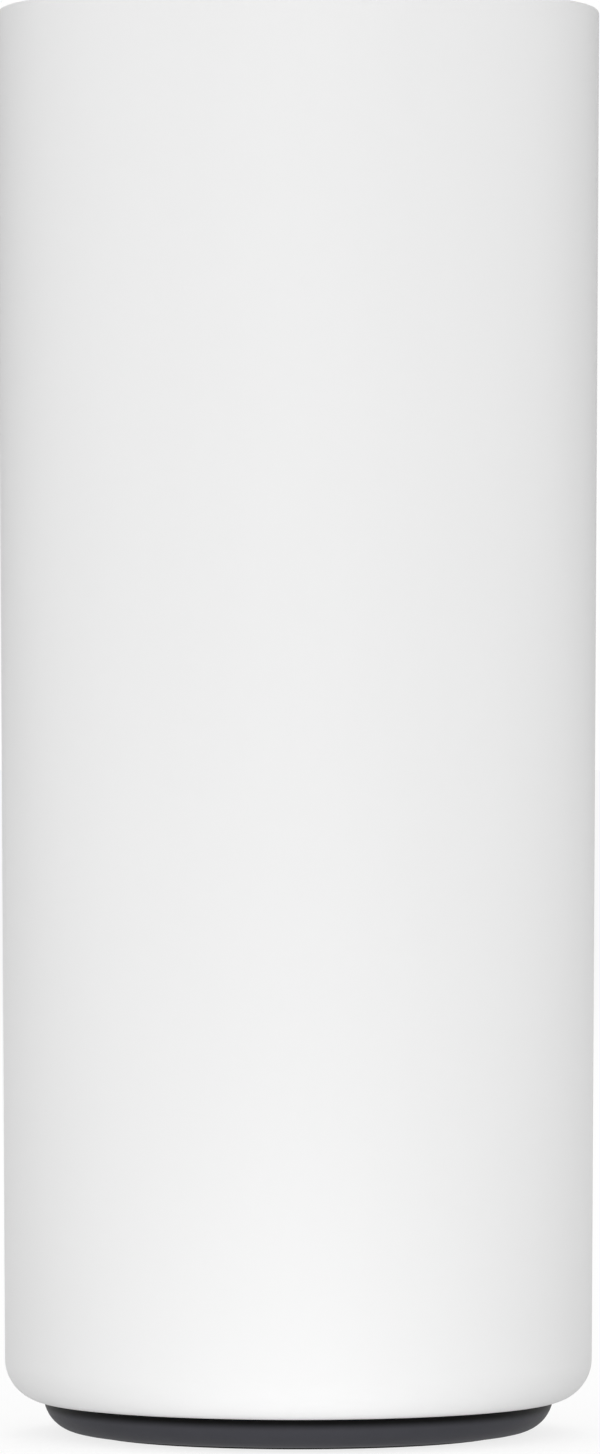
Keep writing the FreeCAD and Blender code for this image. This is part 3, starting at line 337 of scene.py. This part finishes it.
def base_plastic(name, colour):
    """Satin charcoal plastic, with painted shade and a painted reflection: the base is lightest at its foot and
    black near the shell.
    """
    paint = Paint(name, 0.38, specular_ior_level=0.08)
    _, _, z = paint.axes()
    # Painted shade by height: black just under the shell, lightening to a painted reflection towards the foot.
    shade_ramp = paint.node(
        "ShaderNodeMapRange", {"interpolation_type": "SMOOTHSTEP"},
        {"Value": z, "From Min": PAINTED_SHADE_FROM, "From Max": PAINTED_SHADE_TO},
    )
    cloud = paint.noise(8 * MM, 4)
    fine = paint.noise(0.40 * MM, 2)
    panel = z > PANEL_FOOT
    # Painted shade and reflection by height, plus the port panel's own tone above the panel's foot.
    painted_shade_and_panel = Value(paint, shade_ramp.outputs[0]) * (0.88 + cloud * 0.12) + panel * (0.36 + cloud * 0.08)
    paint.set("Base Color", paint.mix(painted_shade_and_panel, rgba(colour, 0.01), rgba(colour, 3.1)))
    paint.set("Roughness", 0.34 + cloud * 0.06 + fine * 0.04)
    paint.bump(fine, 0.008 * MM)
    return paint.material


RIDGE_PITCH = 0.8 * MM


def rubber(name, colour):
    """Matt rubber with concentric grip ridges."""
    paint = Paint(name, 0.8, specular_ior_level=0.3)
    x, y, _ = paint.axes()
    radius = (x * x + y * y).power(0.5)
    wave = (radius * (2 * math.pi / RIDGE_PITCH)).sine()
    dust = paint.noise(3 * MM, 4, 0.6)
    paint.set("Base Color", paint.mix(dust.power(3.0), rgba(colour), rgba(colour, 2.2)))
    paint.set("Roughness", 0.72 + dust * 0.2)
    paint.bump(wave * 0.5 + paint.noise(0.4 * MM), 0.06 * MM)
    return paint.material


def clear_plastic(name):
    """The light pipe: frosted on its faces, with a milky body."""
    paint = Paint(name, 0.35, ior=1.49, transmission_weight=0.55)
    haze = paint.noise(1.5 * MM, 3)
    paint.set("Base Color", paint.mix(haze, (0.88, 0.90, 0.92, 1), (0.97, 0.98, 0.99, 1)))
    paint.set("Roughness", 0.30 + haze * 0.12)
    return paint.material


LABEL_RADIUS = 6.4 * MM


def blank_label(name):
    """A silvered paper label, with empty ruled boxes in place of any words."""
    paint = Paint(name, 0.45)
    x, y, _ = paint.axes()
    rules = {"Vector": paint.place, "Scale": 1.0, "Mortar Size": 0.07 * MM, "Brick Width": 5.2 * MM,
             "Row Height": 2.4 * MM, "Mortar Smooth": 0.0}
    lines = Value(paint, paint.node("ShaderNodeTexBrick", {"offset": 0.0}, rules).outputs["Fac"])
    inside = (x * x + y * y).power(0.5) < LABEL_RADIUS
    fibre = paint.noise(0.5 * MM, 4)
    paper = paint.mix(fibre, (0.50, 0.51, 0.52, 1), (0.60, 0.61, 0.62, 1))
    paint.set("Base Color", paint.mix(lines * inside, paper, (0.08, 0.08, 0.09, 1)))
    paint.set("Roughness", 0.38 + fibre * 0.15)
    return paint.material


def make_finishes(shell, detail):
    """One material for each slot of the record."""
    charcoal = tuple(detail.base_colour)
    upright = (1, 1, 0.04)
    return {
        "white_shell": white_shell("white_shell", tuple(shell.colour)),
        "dark_base": base_plastic("dark_base", charcoal),
        "foot_rubber": rubber("foot_rubber", (0.022, 0.022, 0.023)),
        "port_black": moulded("port_black", (0.016, 0.016, 0.017), 0.50, mottle=0.10),
        "button_grey": moulded("button_grey", (0.17, 0.17, 0.175), 0.42, depth=0.006 * MM),
        "chassis_grey": moulded(
            "chassis_grey", (0.10, 0.10, 0.105), 0.60, depth=0.02 * MM, mottle=0.06
        ),
        "board_green": circuit_board("board_green"),
        "sink_aluminium": metal("sink_aluminium", (0.62, 0.63, 0.65), 0.38, upright),
        "shield_steel": metal("shield_steel", (0.60, 0.61, 0.62), 0.30, (1, 0.06, 1)),
        "contact_gold": metal("contact_gold", (0.83, 0.62, 0.25), 0.22, (1, 0.1, 1), 0.3 * MM),
        "screw_steel": metal("screw_steel", (0.50, 0.51, 0.53), 0.34, (1, 1, 1), 0.4 * MM),
        "thermal_grey": moulded(
            "thermal_grey", (0.24, 0.27, 0.31), 0.75, 0.7 * MM, 0.03 * MM, 0.10
        ),
        "chip_black": moulded(
            "chip_black", (0.020, 0.020, 0.022), 0.38, 0.25 * MM, 0.008 * MM, 0.08
        ),
        "capacitor_sleeve": moulded(
            "capacitor_sleeve", (0.020, 0.028, 0.075), 0.30, mottle=0.07
        ),
        "clear_pipe": clear_plastic("clear_pipe"),
        "lamp_white": moulded("lamp_white", (0.85, 0.84, 0.78), 0.30, mottle=0.04),
        "cable_black": moulded(
            "cable_black", (0.018, 0.018, 0.018), 0.48, 0.3 * MM, 0.01 * MM, 0.10
        ),
        "label_silver": blank_label("label_silver"),
        "mark_ink": moulded(
            "mark_ink", tuple(detail.mark_colour), 0.55, 0.3 * MM, 0.004 * MM, 0.04
        ),
    }


FINISHES = {}


def finish_piece(piece, slot, body):
    """Gives a new piece the material of its record slot, and the body that it moves with."""
    piece.data.materials.clear()
    piece.data.materials.append(FINISHES[slot])
    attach(piece, body)
    return piece


# ------------------------------------------------------------------ modelling helpers


# Distances within which points merge: neighbours in an outline, and the two ends of a full turn.
WELD, SEAM = 1e-7, 1e-6


def deselect():
    if bpy.context.mode != "OBJECT":
        bpy.ops.object.mode_set(mode="OBJECT")
    bpy.ops.object.select_all(action="DESELECT")


def activate(piece):
    deselect()
    piece.select_set(True)
    bpy.context.view_layer.objects.active = piece


def edit(piece, chosen=None):
    """Opens a piece for editing, with the chosen vertices selected, or all of them."""
    activate(piece)
    for part in (piece.data.polygons, piece.data.edges, piece.data.vertices):
        part.foreach_set("select", [False] * len(part))
    if chosen:
        for vertex in piece.data.vertices:
            vertex.select = chosen(vertex.co)
    bpy.ops.object.mode_set(mode="EDIT")
    bpy.ops.mesh.select_mode(type="VERT")
    if not chosen:
        bpy.ops.mesh.select_all(action="SELECT")


def turned(name, outline, steps):
    """Spins a closed outline of (radius, height) points about the tower's axis."""
    deselect()
    bpy.ops.mesh.primitive_plane_add(size=MM)
    piece = bpy.context.active_object
    piece.name = piece.data.name = name
    edit(piece)
    bpy.ops.mesh.merge(type="CENTER")
    bpy.ops.transform.translate(value=(outline[0][0], 0, outline[0][1]))
    for (r0, z0), (r1, z1) in zip(outline, outline[1:] + outline[:1]):
        step = {"value": (r1 - r0, 0, z1 - z0)}
        bpy.ops.mesh.extrude_vertices_move(TRANSFORM_OT_translate=step)
    bpy.ops.mesh.select_all(action="SELECT")
    bpy.ops.mesh.remove_doubles(threshold=WELD)
    bpy.ops.mesh.spin(steps=steps, angle=2 * math.pi, center=(0, 0, 0), axis=(0, 0, 1))
    bpy.ops.mesh.select_all(action="SELECT")
    bpy.ops.mesh.remove_doubles(threshold=SEAM)
    bpy.ops.mesh.normals_make_consistent(inside=False)
    deselect()
    return piece


def arc(centre, radius, start, end, count):
    """Points (radius, height) on an arc, with angles in degrees."""
    angles = [math.radians(start + (end - start) * i / count) for i in range(count + 1)]
    return [(centre[0] + radius * math.cos(a), centre[1] + radius * math.sin(a)) for a in angles]


def cut_away(piece, tool):
    """Takes a tool's volume out of a piece."""
    activate(piece)
    modifier = piece.modifiers.new("cut", "BOOLEAN")
    modifier.operation = "DIFFERENCE"
    modifier.solver = "EXACT"
    modifier.object = tool
    bpy.ops.object.modifier_apply(modifier=modifier.name)
    bpy.data.objects.remove(tool)


def smooth(piece, degrees):
    activate(piece)
    bpy.ops.object.shade_smooth_by_angle(angle=math.radians(degrees))
    deselect()


CUTTER_START, CUTTER_DEPTH = 20 * MM, 60 * MM
CUTTER_SIDES = 96


def stadium_tool(radius, low, high):
    """A slot-shaped cutter that runs out through the tower's back."""
    deselect()
    start = (0, CUTTER_START, low)
    bpy.ops.mesh.primitive_circle_add(
        vertices=CUTTER_SIDES, radius=radius, fill_type="NGON", location=start,
        rotation=(math.pi / 2, 0, 0),
    )
    tool = bpy.context.active_object
    bpy.ops.object.transform_apply(location=True, rotation=True)
    edit(tool)
    bpy.ops.transform.rotate(
        value=math.pi / CUTTER_SIDES, orient_axis="Y", center_override=start
    )
    deselect()
    edit(tool, lambda co: co.z > low)
    bpy.ops.transform.translate(value=(0, 0, high - low))
    bpy.ops.mesh.select_all(action="SELECT")
    bpy.ops.mesh.extrude_region_move(TRANSFORM_OT_translate={"value": (0, CUTTER_DEPTH, 0)})
    bpy.ops.mesh.select_all(action="SELECT")
    bpy.ops.mesh.normals_make_consistent(inside=False)
    deselect()
    return tool


def apply_place(piece):
    activate(piece)
    bpy.ops.object.transform_apply(location=True, rotation=True, scale=True)
    deselect()
    return piece


def put(piece, place, tilt=0.0):
    """Tilts a piece about X and moves it to its place, and leaves its object at the origin."""
    piece.rotation_euler = (tilt, 0, 0)
    piece.location = place
    return apply_place(piece)


def copy_of(piece):
    made = piece.copy()
    made.data = piece.data.copy()
    bpy.context.scene.collection.objects.link(made)
    return made


def join(name, pieces):
    deselect()
    for piece in pieces:
        piece.select_set(True)
    bpy.context.view_layer.objects.active = pieces[0]
    bpy.ops.object.join()
    whole = bpy.context.active_object
    whole.name = whole.data.name = name
    deselect()
    return whole


# Thickness of printed ink, and the size of a letter against its height.
INK = 0.06 * MM
LETTER = 1.4


def bar_mark(wide, tall):
    """A printed bar that faces +Y."""
    deselect()
    bpy.ops.mesh.primitive_cube_add(size=1)
    bar = bpy.context.active_object
    edit(bar)
    bpy.ops.transform.resize(value=(wide, INK, tall))
    bpy.ops.mesh.bevel(offset=INK * 0.3, segments=2, affect="EDGES")
    deselect()
    return bar


def ring_mark(radius, thick, squeeze=1.0):
    """A printed ring that faces +Y, squeezed across where it is seen from the side."""
    deselect()
    bpy.ops.mesh.primitive_torus_add(
        major_radius=radius, minor_radius=thick, major_segments=48, minor_segments=10,
        rotation=(math.pi / 2, 0, 0),
    )
    ring = apply_place(bpy.context.active_object)
    edit(ring)
    bpy.ops.transform.resize(value=(squeeze, INK / (2 * thick), 1))
    deselect()
    return ring


def globe_mark(radius):
    """The usual sign for the internet: a ring, a meridian, and two crossing lines."""
    thick = radius * 0.09
    lines = [bar_mark(2 * radius, 2 * thick), bar_mark(2 * thick, 2 * radius)]
    return join("globe", [ring_mark(radius, thick), ring_mark(radius, thick, 0.45)] + lines)


ARC_HALF = math.radians(42)
ARC_STEPS = 14


def waves_mark(size):
    """A dot under two arcs, the usual sign for a wireless link."""
    pieces = [ring_mark(size * 0.05, size * 0.05)]
    for radius in (size * 0.35, size * 0.62):
        deselect()
        bpy.ops.mesh.primitive_plane_add(size=1, rotation=(0, math.pi / 2, 0))
        wave = apply_place(bpy.context.active_object)
        edit(wave)
        bpy.ops.transform.resize(value=(1, INK, size * 0.09))
        bpy.ops.transform.translate(value=(0, 0, radius))
        bpy.ops.transform.rotate(value=ARC_HALF, orient_axis="Y", center_override=(0, 0, 0))
        deselect()
        pieces.append(spun_arc(wave, 2 * ARC_HALF))
    return join("waves", pieces)


def spun_arc(piece, angle):
    """Spins a flat section about Y, whichever way brings it back over the top."""
    start = sum(vertex.co.x for vertex in piece.data.vertices)
    sense = 1 if start > 0 else -1
    edit(piece)
    bpy.ops.mesh.spin(steps=ARC_STEPS, angle=sense * angle, center=(0, 0, 0), axis=(0, 1, 0))
    bpy.ops.mesh.select_all(action="SELECT")
    bpy.ops.mesh.remove_doubles(threshold=WELD)
    bpy.ops.mesh.normals_make_consistent(inside=False)
    deselect()
    return piece


def numeral(text, size):
    """A printed number that faces +Y, and reads from behind the tower."""
    deselect()
    bpy.ops.object.text_add(rotation=(math.pi / 2, 0, math.pi))
    letter = bpy.context.active_object
    letter.data.body = text
    letter.data.size = size * LETTER
    letter.data.extrude = INK / 2
    letter.data.align_x = "CENTER"
    letter.data.align_y = "CENTER"
    bpy.ops.object.convert(target="MESH")
    return apply_place(bpy.context.active_object)


# ------------------------------------------------------------------ operators


class ROUTER_OT_finishes(Operator):
    """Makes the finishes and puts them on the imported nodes"""

    bl_idname = "router.finishes"
    bl_label = "Finishes"

    def execute(self, context):
        scene = context.scene
        FINISHES.update(make_finishes(scene.router_shell, scene.router_detail))
        for part in frame["record"]["subparts"]:
            node = NODES[part["node"]]
            for slot in node.material_slots:
                slot.material = FINISHES[part["material_slot"]]
        return {"FINISHED"}


# How far the port panel's flange runs past its face, and half the width of the face and the window.
FLANGE_OVERLAP, PANEL_HALF, WINDOW_HALF = 1.5 * MM, 10.0 * MM, 10.3 * MM
HEEL_STEPS, INNER_STEPS, RIM_STEPS = 20, 12, 6


class ROUTER_OT_shell(Operator):
    """Models the drafted shell with its heel, lip, rim and port window"""

    bl_idname = "router.shell"
    bl_label = "Shell"

    def execute(self, context):
        s = context.scene.router_shell
        rim_radius = SLEEVE_HIGH.x
        heel_radius = rim_radius - s.draft
        low, high = SLEEVE_LOW.z, SLEEVE_HIGH.z
        turn = (heel_radius - s.heel, low + s.heel)
        inner = s.heel - s.wall
        outline = [(s.lip, low)]
        outline += arc(turn, s.heel, -90, 0, HEEL_STEPS)
        outline += arc((rim_radius - s.rim, high - s.rim), s.rim, 0, 90, RIM_STEPS)
        outline += arc((rim_radius - s.wall + s.rim, high - s.rim), s.rim, 90, 180, RIM_STEPS)
        outline += arc(turn, inner, 0, -90, INNER_STEPS)
        outline += [(s.lip, low + s.wall)]
        shell = turned("shell", outline, s.facets)
        low_centre = PANEL_LOW.z + FLANGE_OVERLAP + PANEL_HALF
        high_centre = PANEL_HIGH.z - FLANGE_OVERLAP - PANEL_HALF
        cut_away(shell, stadium_tool(WINDOW_HALF, low_centre, high_centre))
        smooth(shell, 35)
        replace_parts(finish_piece(shell, "white_shell", "housing"), "outer_sleeve")
        return {"FINISHED"}


# The rocker: its tilt at rest, the slope of its faces, and from its hinge to a mark and its ridge.
ROCKER_TILT, FACE_SLOPE = math.radians(8), math.atan2(0.9, 5.6)
MARK_REACH, RIDGE_HEIGHT = 3.0 * MM, 3.5 * MM
WAVES_GAP = 0.8 * MM


class ROUTER_OT_marks(Operator):
    """Adds the marks of the power switch, and the numbers and symbols beside the ports"""

    bl_idname = "router.marks"
    bl_label = "Marks"

    def execute(self, context):
        size = context.scene.router_detail.mark_size
        self.rocker_marks(size * 0.85)
        self.panel_marks(size)
        return {"FINISHED"}

    @staticmethod
    def rocker_marks(size):
        """A bar and a ring on the two tilted faces of the rocker."""
        hinge = next(j for j in frame["joints"] if j["child"] == "power_rocker")
        _, axis_y, axis_z = hinge["pos_m"]
        marks = [bar_mark(size * 0.16, size), ring_mark(size * 0.42, size * 0.08)]
        out = RIDGE_HEIGHT + MARK_REACH * math.tan(FACE_SLOPE)
        for side, mark in zip((1, -1), marks):
            up = side * MARK_REACH
            y = axis_y + out * math.cos(ROCKER_TILT) - up * math.sin(ROCKER_TILT)
            z = axis_z + out * math.sin(ROCKER_TILT) + up * math.cos(ROCKER_TILT)
            put(mark, (0, y, z), ROCKER_TILT - side * FACE_SLOPE)
        finish_piece(join("rocker_marks", marks), "mark_ink", "power_rocker")

    @staticmethod
    def panel_marks(size):
        """Numbers and a globe beside the network ports, and waves above the pairing button."""
        face = PANEL_HIGH.y
        _, jack_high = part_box("network_jack_1")
        column = -(jack_high.x + PANEL_HIGH.x * 0.82) / 2
        marks = []
        for number in range(1, 5):
            low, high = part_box(f"network_jack_{number}")
            mark = globe_mark(size * 0.45) if number == 4 else numeral(str(4 - number), size)
            marks.append(put(mark, (column, face, (low.z + high.z) / 2)))
        _, button_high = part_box("pair_button")
        marks.append(put(waves_mark(size), (0, face, button_high.z + WAVES_GAP)))
        finish_piece(join("panel_marks", marks), "mark_ink", "housing")


# A light window: its size and rounding, and its place from a jack's side, face and middle.
LIGHT_SIZE, LIGHT_ROUND = (2.6 * MM, 0.8 * MM, 3.0 * MM), 0.25 * MM
LIGHT_INSET, LIGHT_SINK, LIGHT_RISE = 2.3 * MM, 0.25 * MM, 5.35 * MM


class ROUTER_OT_port_lights(Operator):
    """Adds the two small light windows in the corners of each network port"""

    bl_idname = "router.port_lights"
    bl_label = "Port lights"

    def execute(self, context):
        deselect()
        bpy.ops.mesh.primitive_cube_add(size=1)
        first = context.active_object
        edit(first)
        bpy.ops.transform.resize(value=LIGHT_SIZE)
        bpy.ops.mesh.bevel(offset=LIGHT_ROUND, segments=3, affect="EDGES")
        deselect()
        windows = []
        for number in range(1, 5):
            low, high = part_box(f"network_jack_{number}")
            for side in (-1, 1):
                z = (low.z + high.z) / 2 + side * LIGHT_RISE
                place = (high.x - LIGHT_INSET, high.y - LIGHT_SINK, z)
                windows.append(put(copy_of(first), place))
        bpy.data.objects.remove(first)
        lights = join("port_lights", windows)
        smooth(lights, 40)
        finish_piece(lights, "clear_pipe", "housing")
        return {"FINISHED"}


# All in millimetres: free strips of the board, from and to across it and then up it; the width,
# height and thickness of each kind of small part; and the area of board for each part.
BOARD_STRIPS = ((-34.5, -25.5, 22, 180), (-24, -4, 20, 56), (14, 17.5, 40, 116))
SMALL_SIZES = ((1.0, 1.9, 0.7), (0.6, 1.1, 0.4), (2.6, 2.6, 0.9))
AREA_EACH = 60
SMALL_ROUND = 0.08 * MM


class ROUTER_OT_small_parts(Operator):
    """Scatters the small surface-mounted parts over the free strips of the circuit board"""

    bl_idname = "router.small_parts"
    bl_label = "Small parts"

    def execute(self, context):
        draw = random.Random(7)
        _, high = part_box("main_board")
        made = []
        for wide, tall, thick in SMALL_SIZES:
            deselect()
            bpy.ops.mesh.primitive_cube_add(size=1)
            first = context.active_object
            edit(first)
            bpy.ops.transform.resize(value=(thick * MM, wide * MM, tall * MM))
            bpy.ops.mesh.bevel(offset=SMALL_ROUND, segments=1, affect="EDGES")
            deselect()
            for y0, y1, z0, z1 in BOARD_STRIPS:
                for _ in range(int((y1 - y0) * (z1 - z0) / AREA_EACH)):
                    y, z = draw.uniform(y0, y1), draw.uniform(z0, z1)
                    turn = draw.choice((0, math.pi / 2))
                    place = (high.x + thick / 2 * MM, y * MM, z * MM)
                    made.append(put(copy_of(first), place, turn))
            bpy.data.objects.remove(first)
        finish_piece(join("small_parts", made), "chip_black", "housing")
        return {"FINISHED"}


# The camera's offset to the side, and its sensor's width in millimetres.
CAMERA_SIDE, SENSOR = 0.24 * MM, 36
# How far round to the back, as the Y part of a direction, the room goes from light to shade.
SHADE_FROM, SHADE_TO = 0.1, 0.8
# The floor: its drop, the pool's centre ahead of the tower, and widths of its patches (the pool, the ring and the
# painted flank shadow), in metres.
FLOOR_DROP = 0.05 * MM
POOL_AHEAD, POOL_WIDTH, RING_WIDTH, FLANK_SHADOW_WIDTH = 0.10, 0.05, 0.05, 0.13
NEARLY_ZERO = 0.0001


class ROUTER_OT_stage(Operator):
    """Adds the floor, the soft light and the camera"""

    bl_idname = "router.stage"
    bl_label = "Stage"

    def execute(self, context):
        s = context.scene.router_stage
        self.floor(s)
        self.lights(s)
        context.scene.world = self.room(s)
        deselect()
        bpy.ops.object.camera_add(
            location=(CAMERA_SIDE, -s.distance, s.eye_height), rotation=(math.pi / 2, 0, 0)
        )
        camera = context.active_object
        camera.name = "camera"
        camera.data.lens = s.lens
        camera.data.sensor_width = SENSOR
        camera.data.clip_start = 0.01
        context.scene.camera = camera
        context.scene.view_settings.view_transform = "Standard"
        return {"FINISHED"}

    @staticmethod
    def room(s):
        """Soft light from all round, dimmer from behind, which the camera sees as plain white."""
        world = bpy.data.worlds.new("studio")
        world.use_nodes = True
        nodes, links = world.node_tree.nodes, world.node_tree.links
        even = nodes["Background"]
        even.inputs["Color"].default_value = grey(1)
        heading = nodes.new("ShaderNodeTexCoord")
        split = nodes.new("ShaderNodeSeparateXYZ")
        shade_ramp = nodes.new("ShaderNodeMapRange")
        shade_ramp.interpolation_type = "SMOOTHSTEP"
        span = {"From Min": SHADE_FROM, "From Max": SHADE_TO, "To Min": s.room, "To Max": s.shade}
        for key, value in span.items():
            shade_ramp.inputs[key].default_value = value
        links.new(heading.outputs["Generated"], split.inputs[0])
        links.new(split.outputs[1], shade_ramp.inputs["Value"])
        links.new(shade_ramp.outputs[0], even.inputs["Strength"])
        seen = nodes.new("ShaderNodeBackground")
        seen.inputs["Color"].default_value = grey(1)
        path = nodes.new("ShaderNodeLightPath")
        mix = nodes.new("ShaderNodeMixShader")
        links.new(path.outputs["Is Camera Ray"], mix.inputs[0])
        links.new(even.outputs[0], mix.inputs[1])
        links.new(seen.outputs[0], mix.inputs[2])
        links.new(mix.outputs[0], nodes["World Output"].inputs["Surface"])
        return world

    @staticmethod
    def floor(s):
        """A wide pale floor that throws light up, more in front of and close round the tower.

        It has a painted shadow at the tower's sides, in its colour and in the light it throws, and the camera sees
        it as an even near-white.
        """
        deselect()
        bpy.ops.mesh.primitive_plane_add(size=40, location=(0, 0, -FLOOR_DROP))
        floor = bpy.context.active_object
        floor.name = "floor"
        bpy.ops.object.transform_apply(location=True)
        paint = Paint("floor_paint", 0.9)
        x, y, _ = paint.axes()
        ahead = y + POOL_AHEAD
        near = 1 / (1 + (x * x + ahead * ahead) / POOL_WIDTH ** 2)
        reach = x * x + y * y
        around = 1 / (1 + (reach / RING_WIDTH ** 2).power(2))
        # Painted shadow at the tower's sides: darkens the floor's colour and the light it throws.
        flank_shadow = x * x / (reach + NEARLY_ZERO) / (1 + (reach / FLANK_SHADOW_WIDTH ** 2).power(2))
        outside_flank_shadow = 1 - flank_shadow * s.flank_shadow
        tone = paint.noise(0.6, 2)
        seen = Value(paint, paint.node("ShaderNodeLightPath").outputs["Is Camera Ray"])
        pale = paint.mix(outside_flank_shadow * (0.96 + tone * 0.04), grey(0), grey(0.82))
        paint.set("Base Color", paint.mix(seen, pale, grey(0.16)))
        paint.set("Emission Strength", 1.0)
        thrown = near * s.pool + around * s.ring + outside_flank_shadow * s.bounce
        bounce = paint.mix(thrown, grey(0), grey(1))
        paint.set("Emission Color", paint.mix(seen, bounce, grey(s.glow)))
        floor.data.materials.append(paint.material)

    @staticmethod
    def lights(s):
        aim = Vector((0, 0, 0.11))
        boxes = (
            ("front_softbox", (0.02, -1.6, 0.75), 1.6, s.key),
            ("left_softbox", (-1.5, -0.6, 0.5), 0.9, s.key * 0.12),
            ("back_softbox", (0.0, 1.2, 1.5), 1.0, s.key * 1.8),
        )
        for name, place, size, power in boxes:
            deselect()
            turn = (aim - Vector(place)).to_track_quat("-Z", "Y").to_euler()
            bpy.ops.object.light_add(type="AREA", location=place, rotation=turn)
            light = bpy.context.active_object
            light.name = name
            light.data.size = size
            light.data.energy = power


class ROUTER_PT_panel(Panel):
    bl_label = "Router"
    bl_idname = "ROUTER_PT_panel"
    bl_space_type = "VIEW_3D"
    bl_region_type = "UI"
    bl_category = "Router"

    def draw(self, context):
        for kind in OPERATORS:
            self.layout.operator(kind.bl_idname)


OPERATORS = (
    ROUTER_OT_finishes,
    ROUTER_OT_shell,
    ROUTER_OT_marks,
    ROUTER_OT_port_lights,
    ROUTER_OT_small_parts,
    ROUTER_OT_stage,
)
GROUPS = (ShellSettings, DetailSettings, StageSettings)
CLASSES = GROUPS + OPERATORS + (ROUTER_PT_panel,)


def register():
    for kind in CLASSES:
        bpy.utils.register_class(kind)
    bpy.types.Scene.router_shell = PointerProperty(type=ShellSettings)
    bpy.types.Scene.router_detail = PointerProperty(type=DetailSettings)
    bpy.types.Scene.router_stage = PointerProperty(type=StageSettings)


def unregister():
    for name in ("router_shell", "router_detail", "router_stage"):
        delattr(bpy.types.Scene, name)
    for kind in reversed(CLASSES):
        bpy.utils.unregister_class(kind)


def main():
    register()
    for kind in OPERATORS:
        group, name = kind.bl_idname.split(".")
        getattr(getattr(bpy.ops, group), name)()


if __name__ == "__main__":
    main()
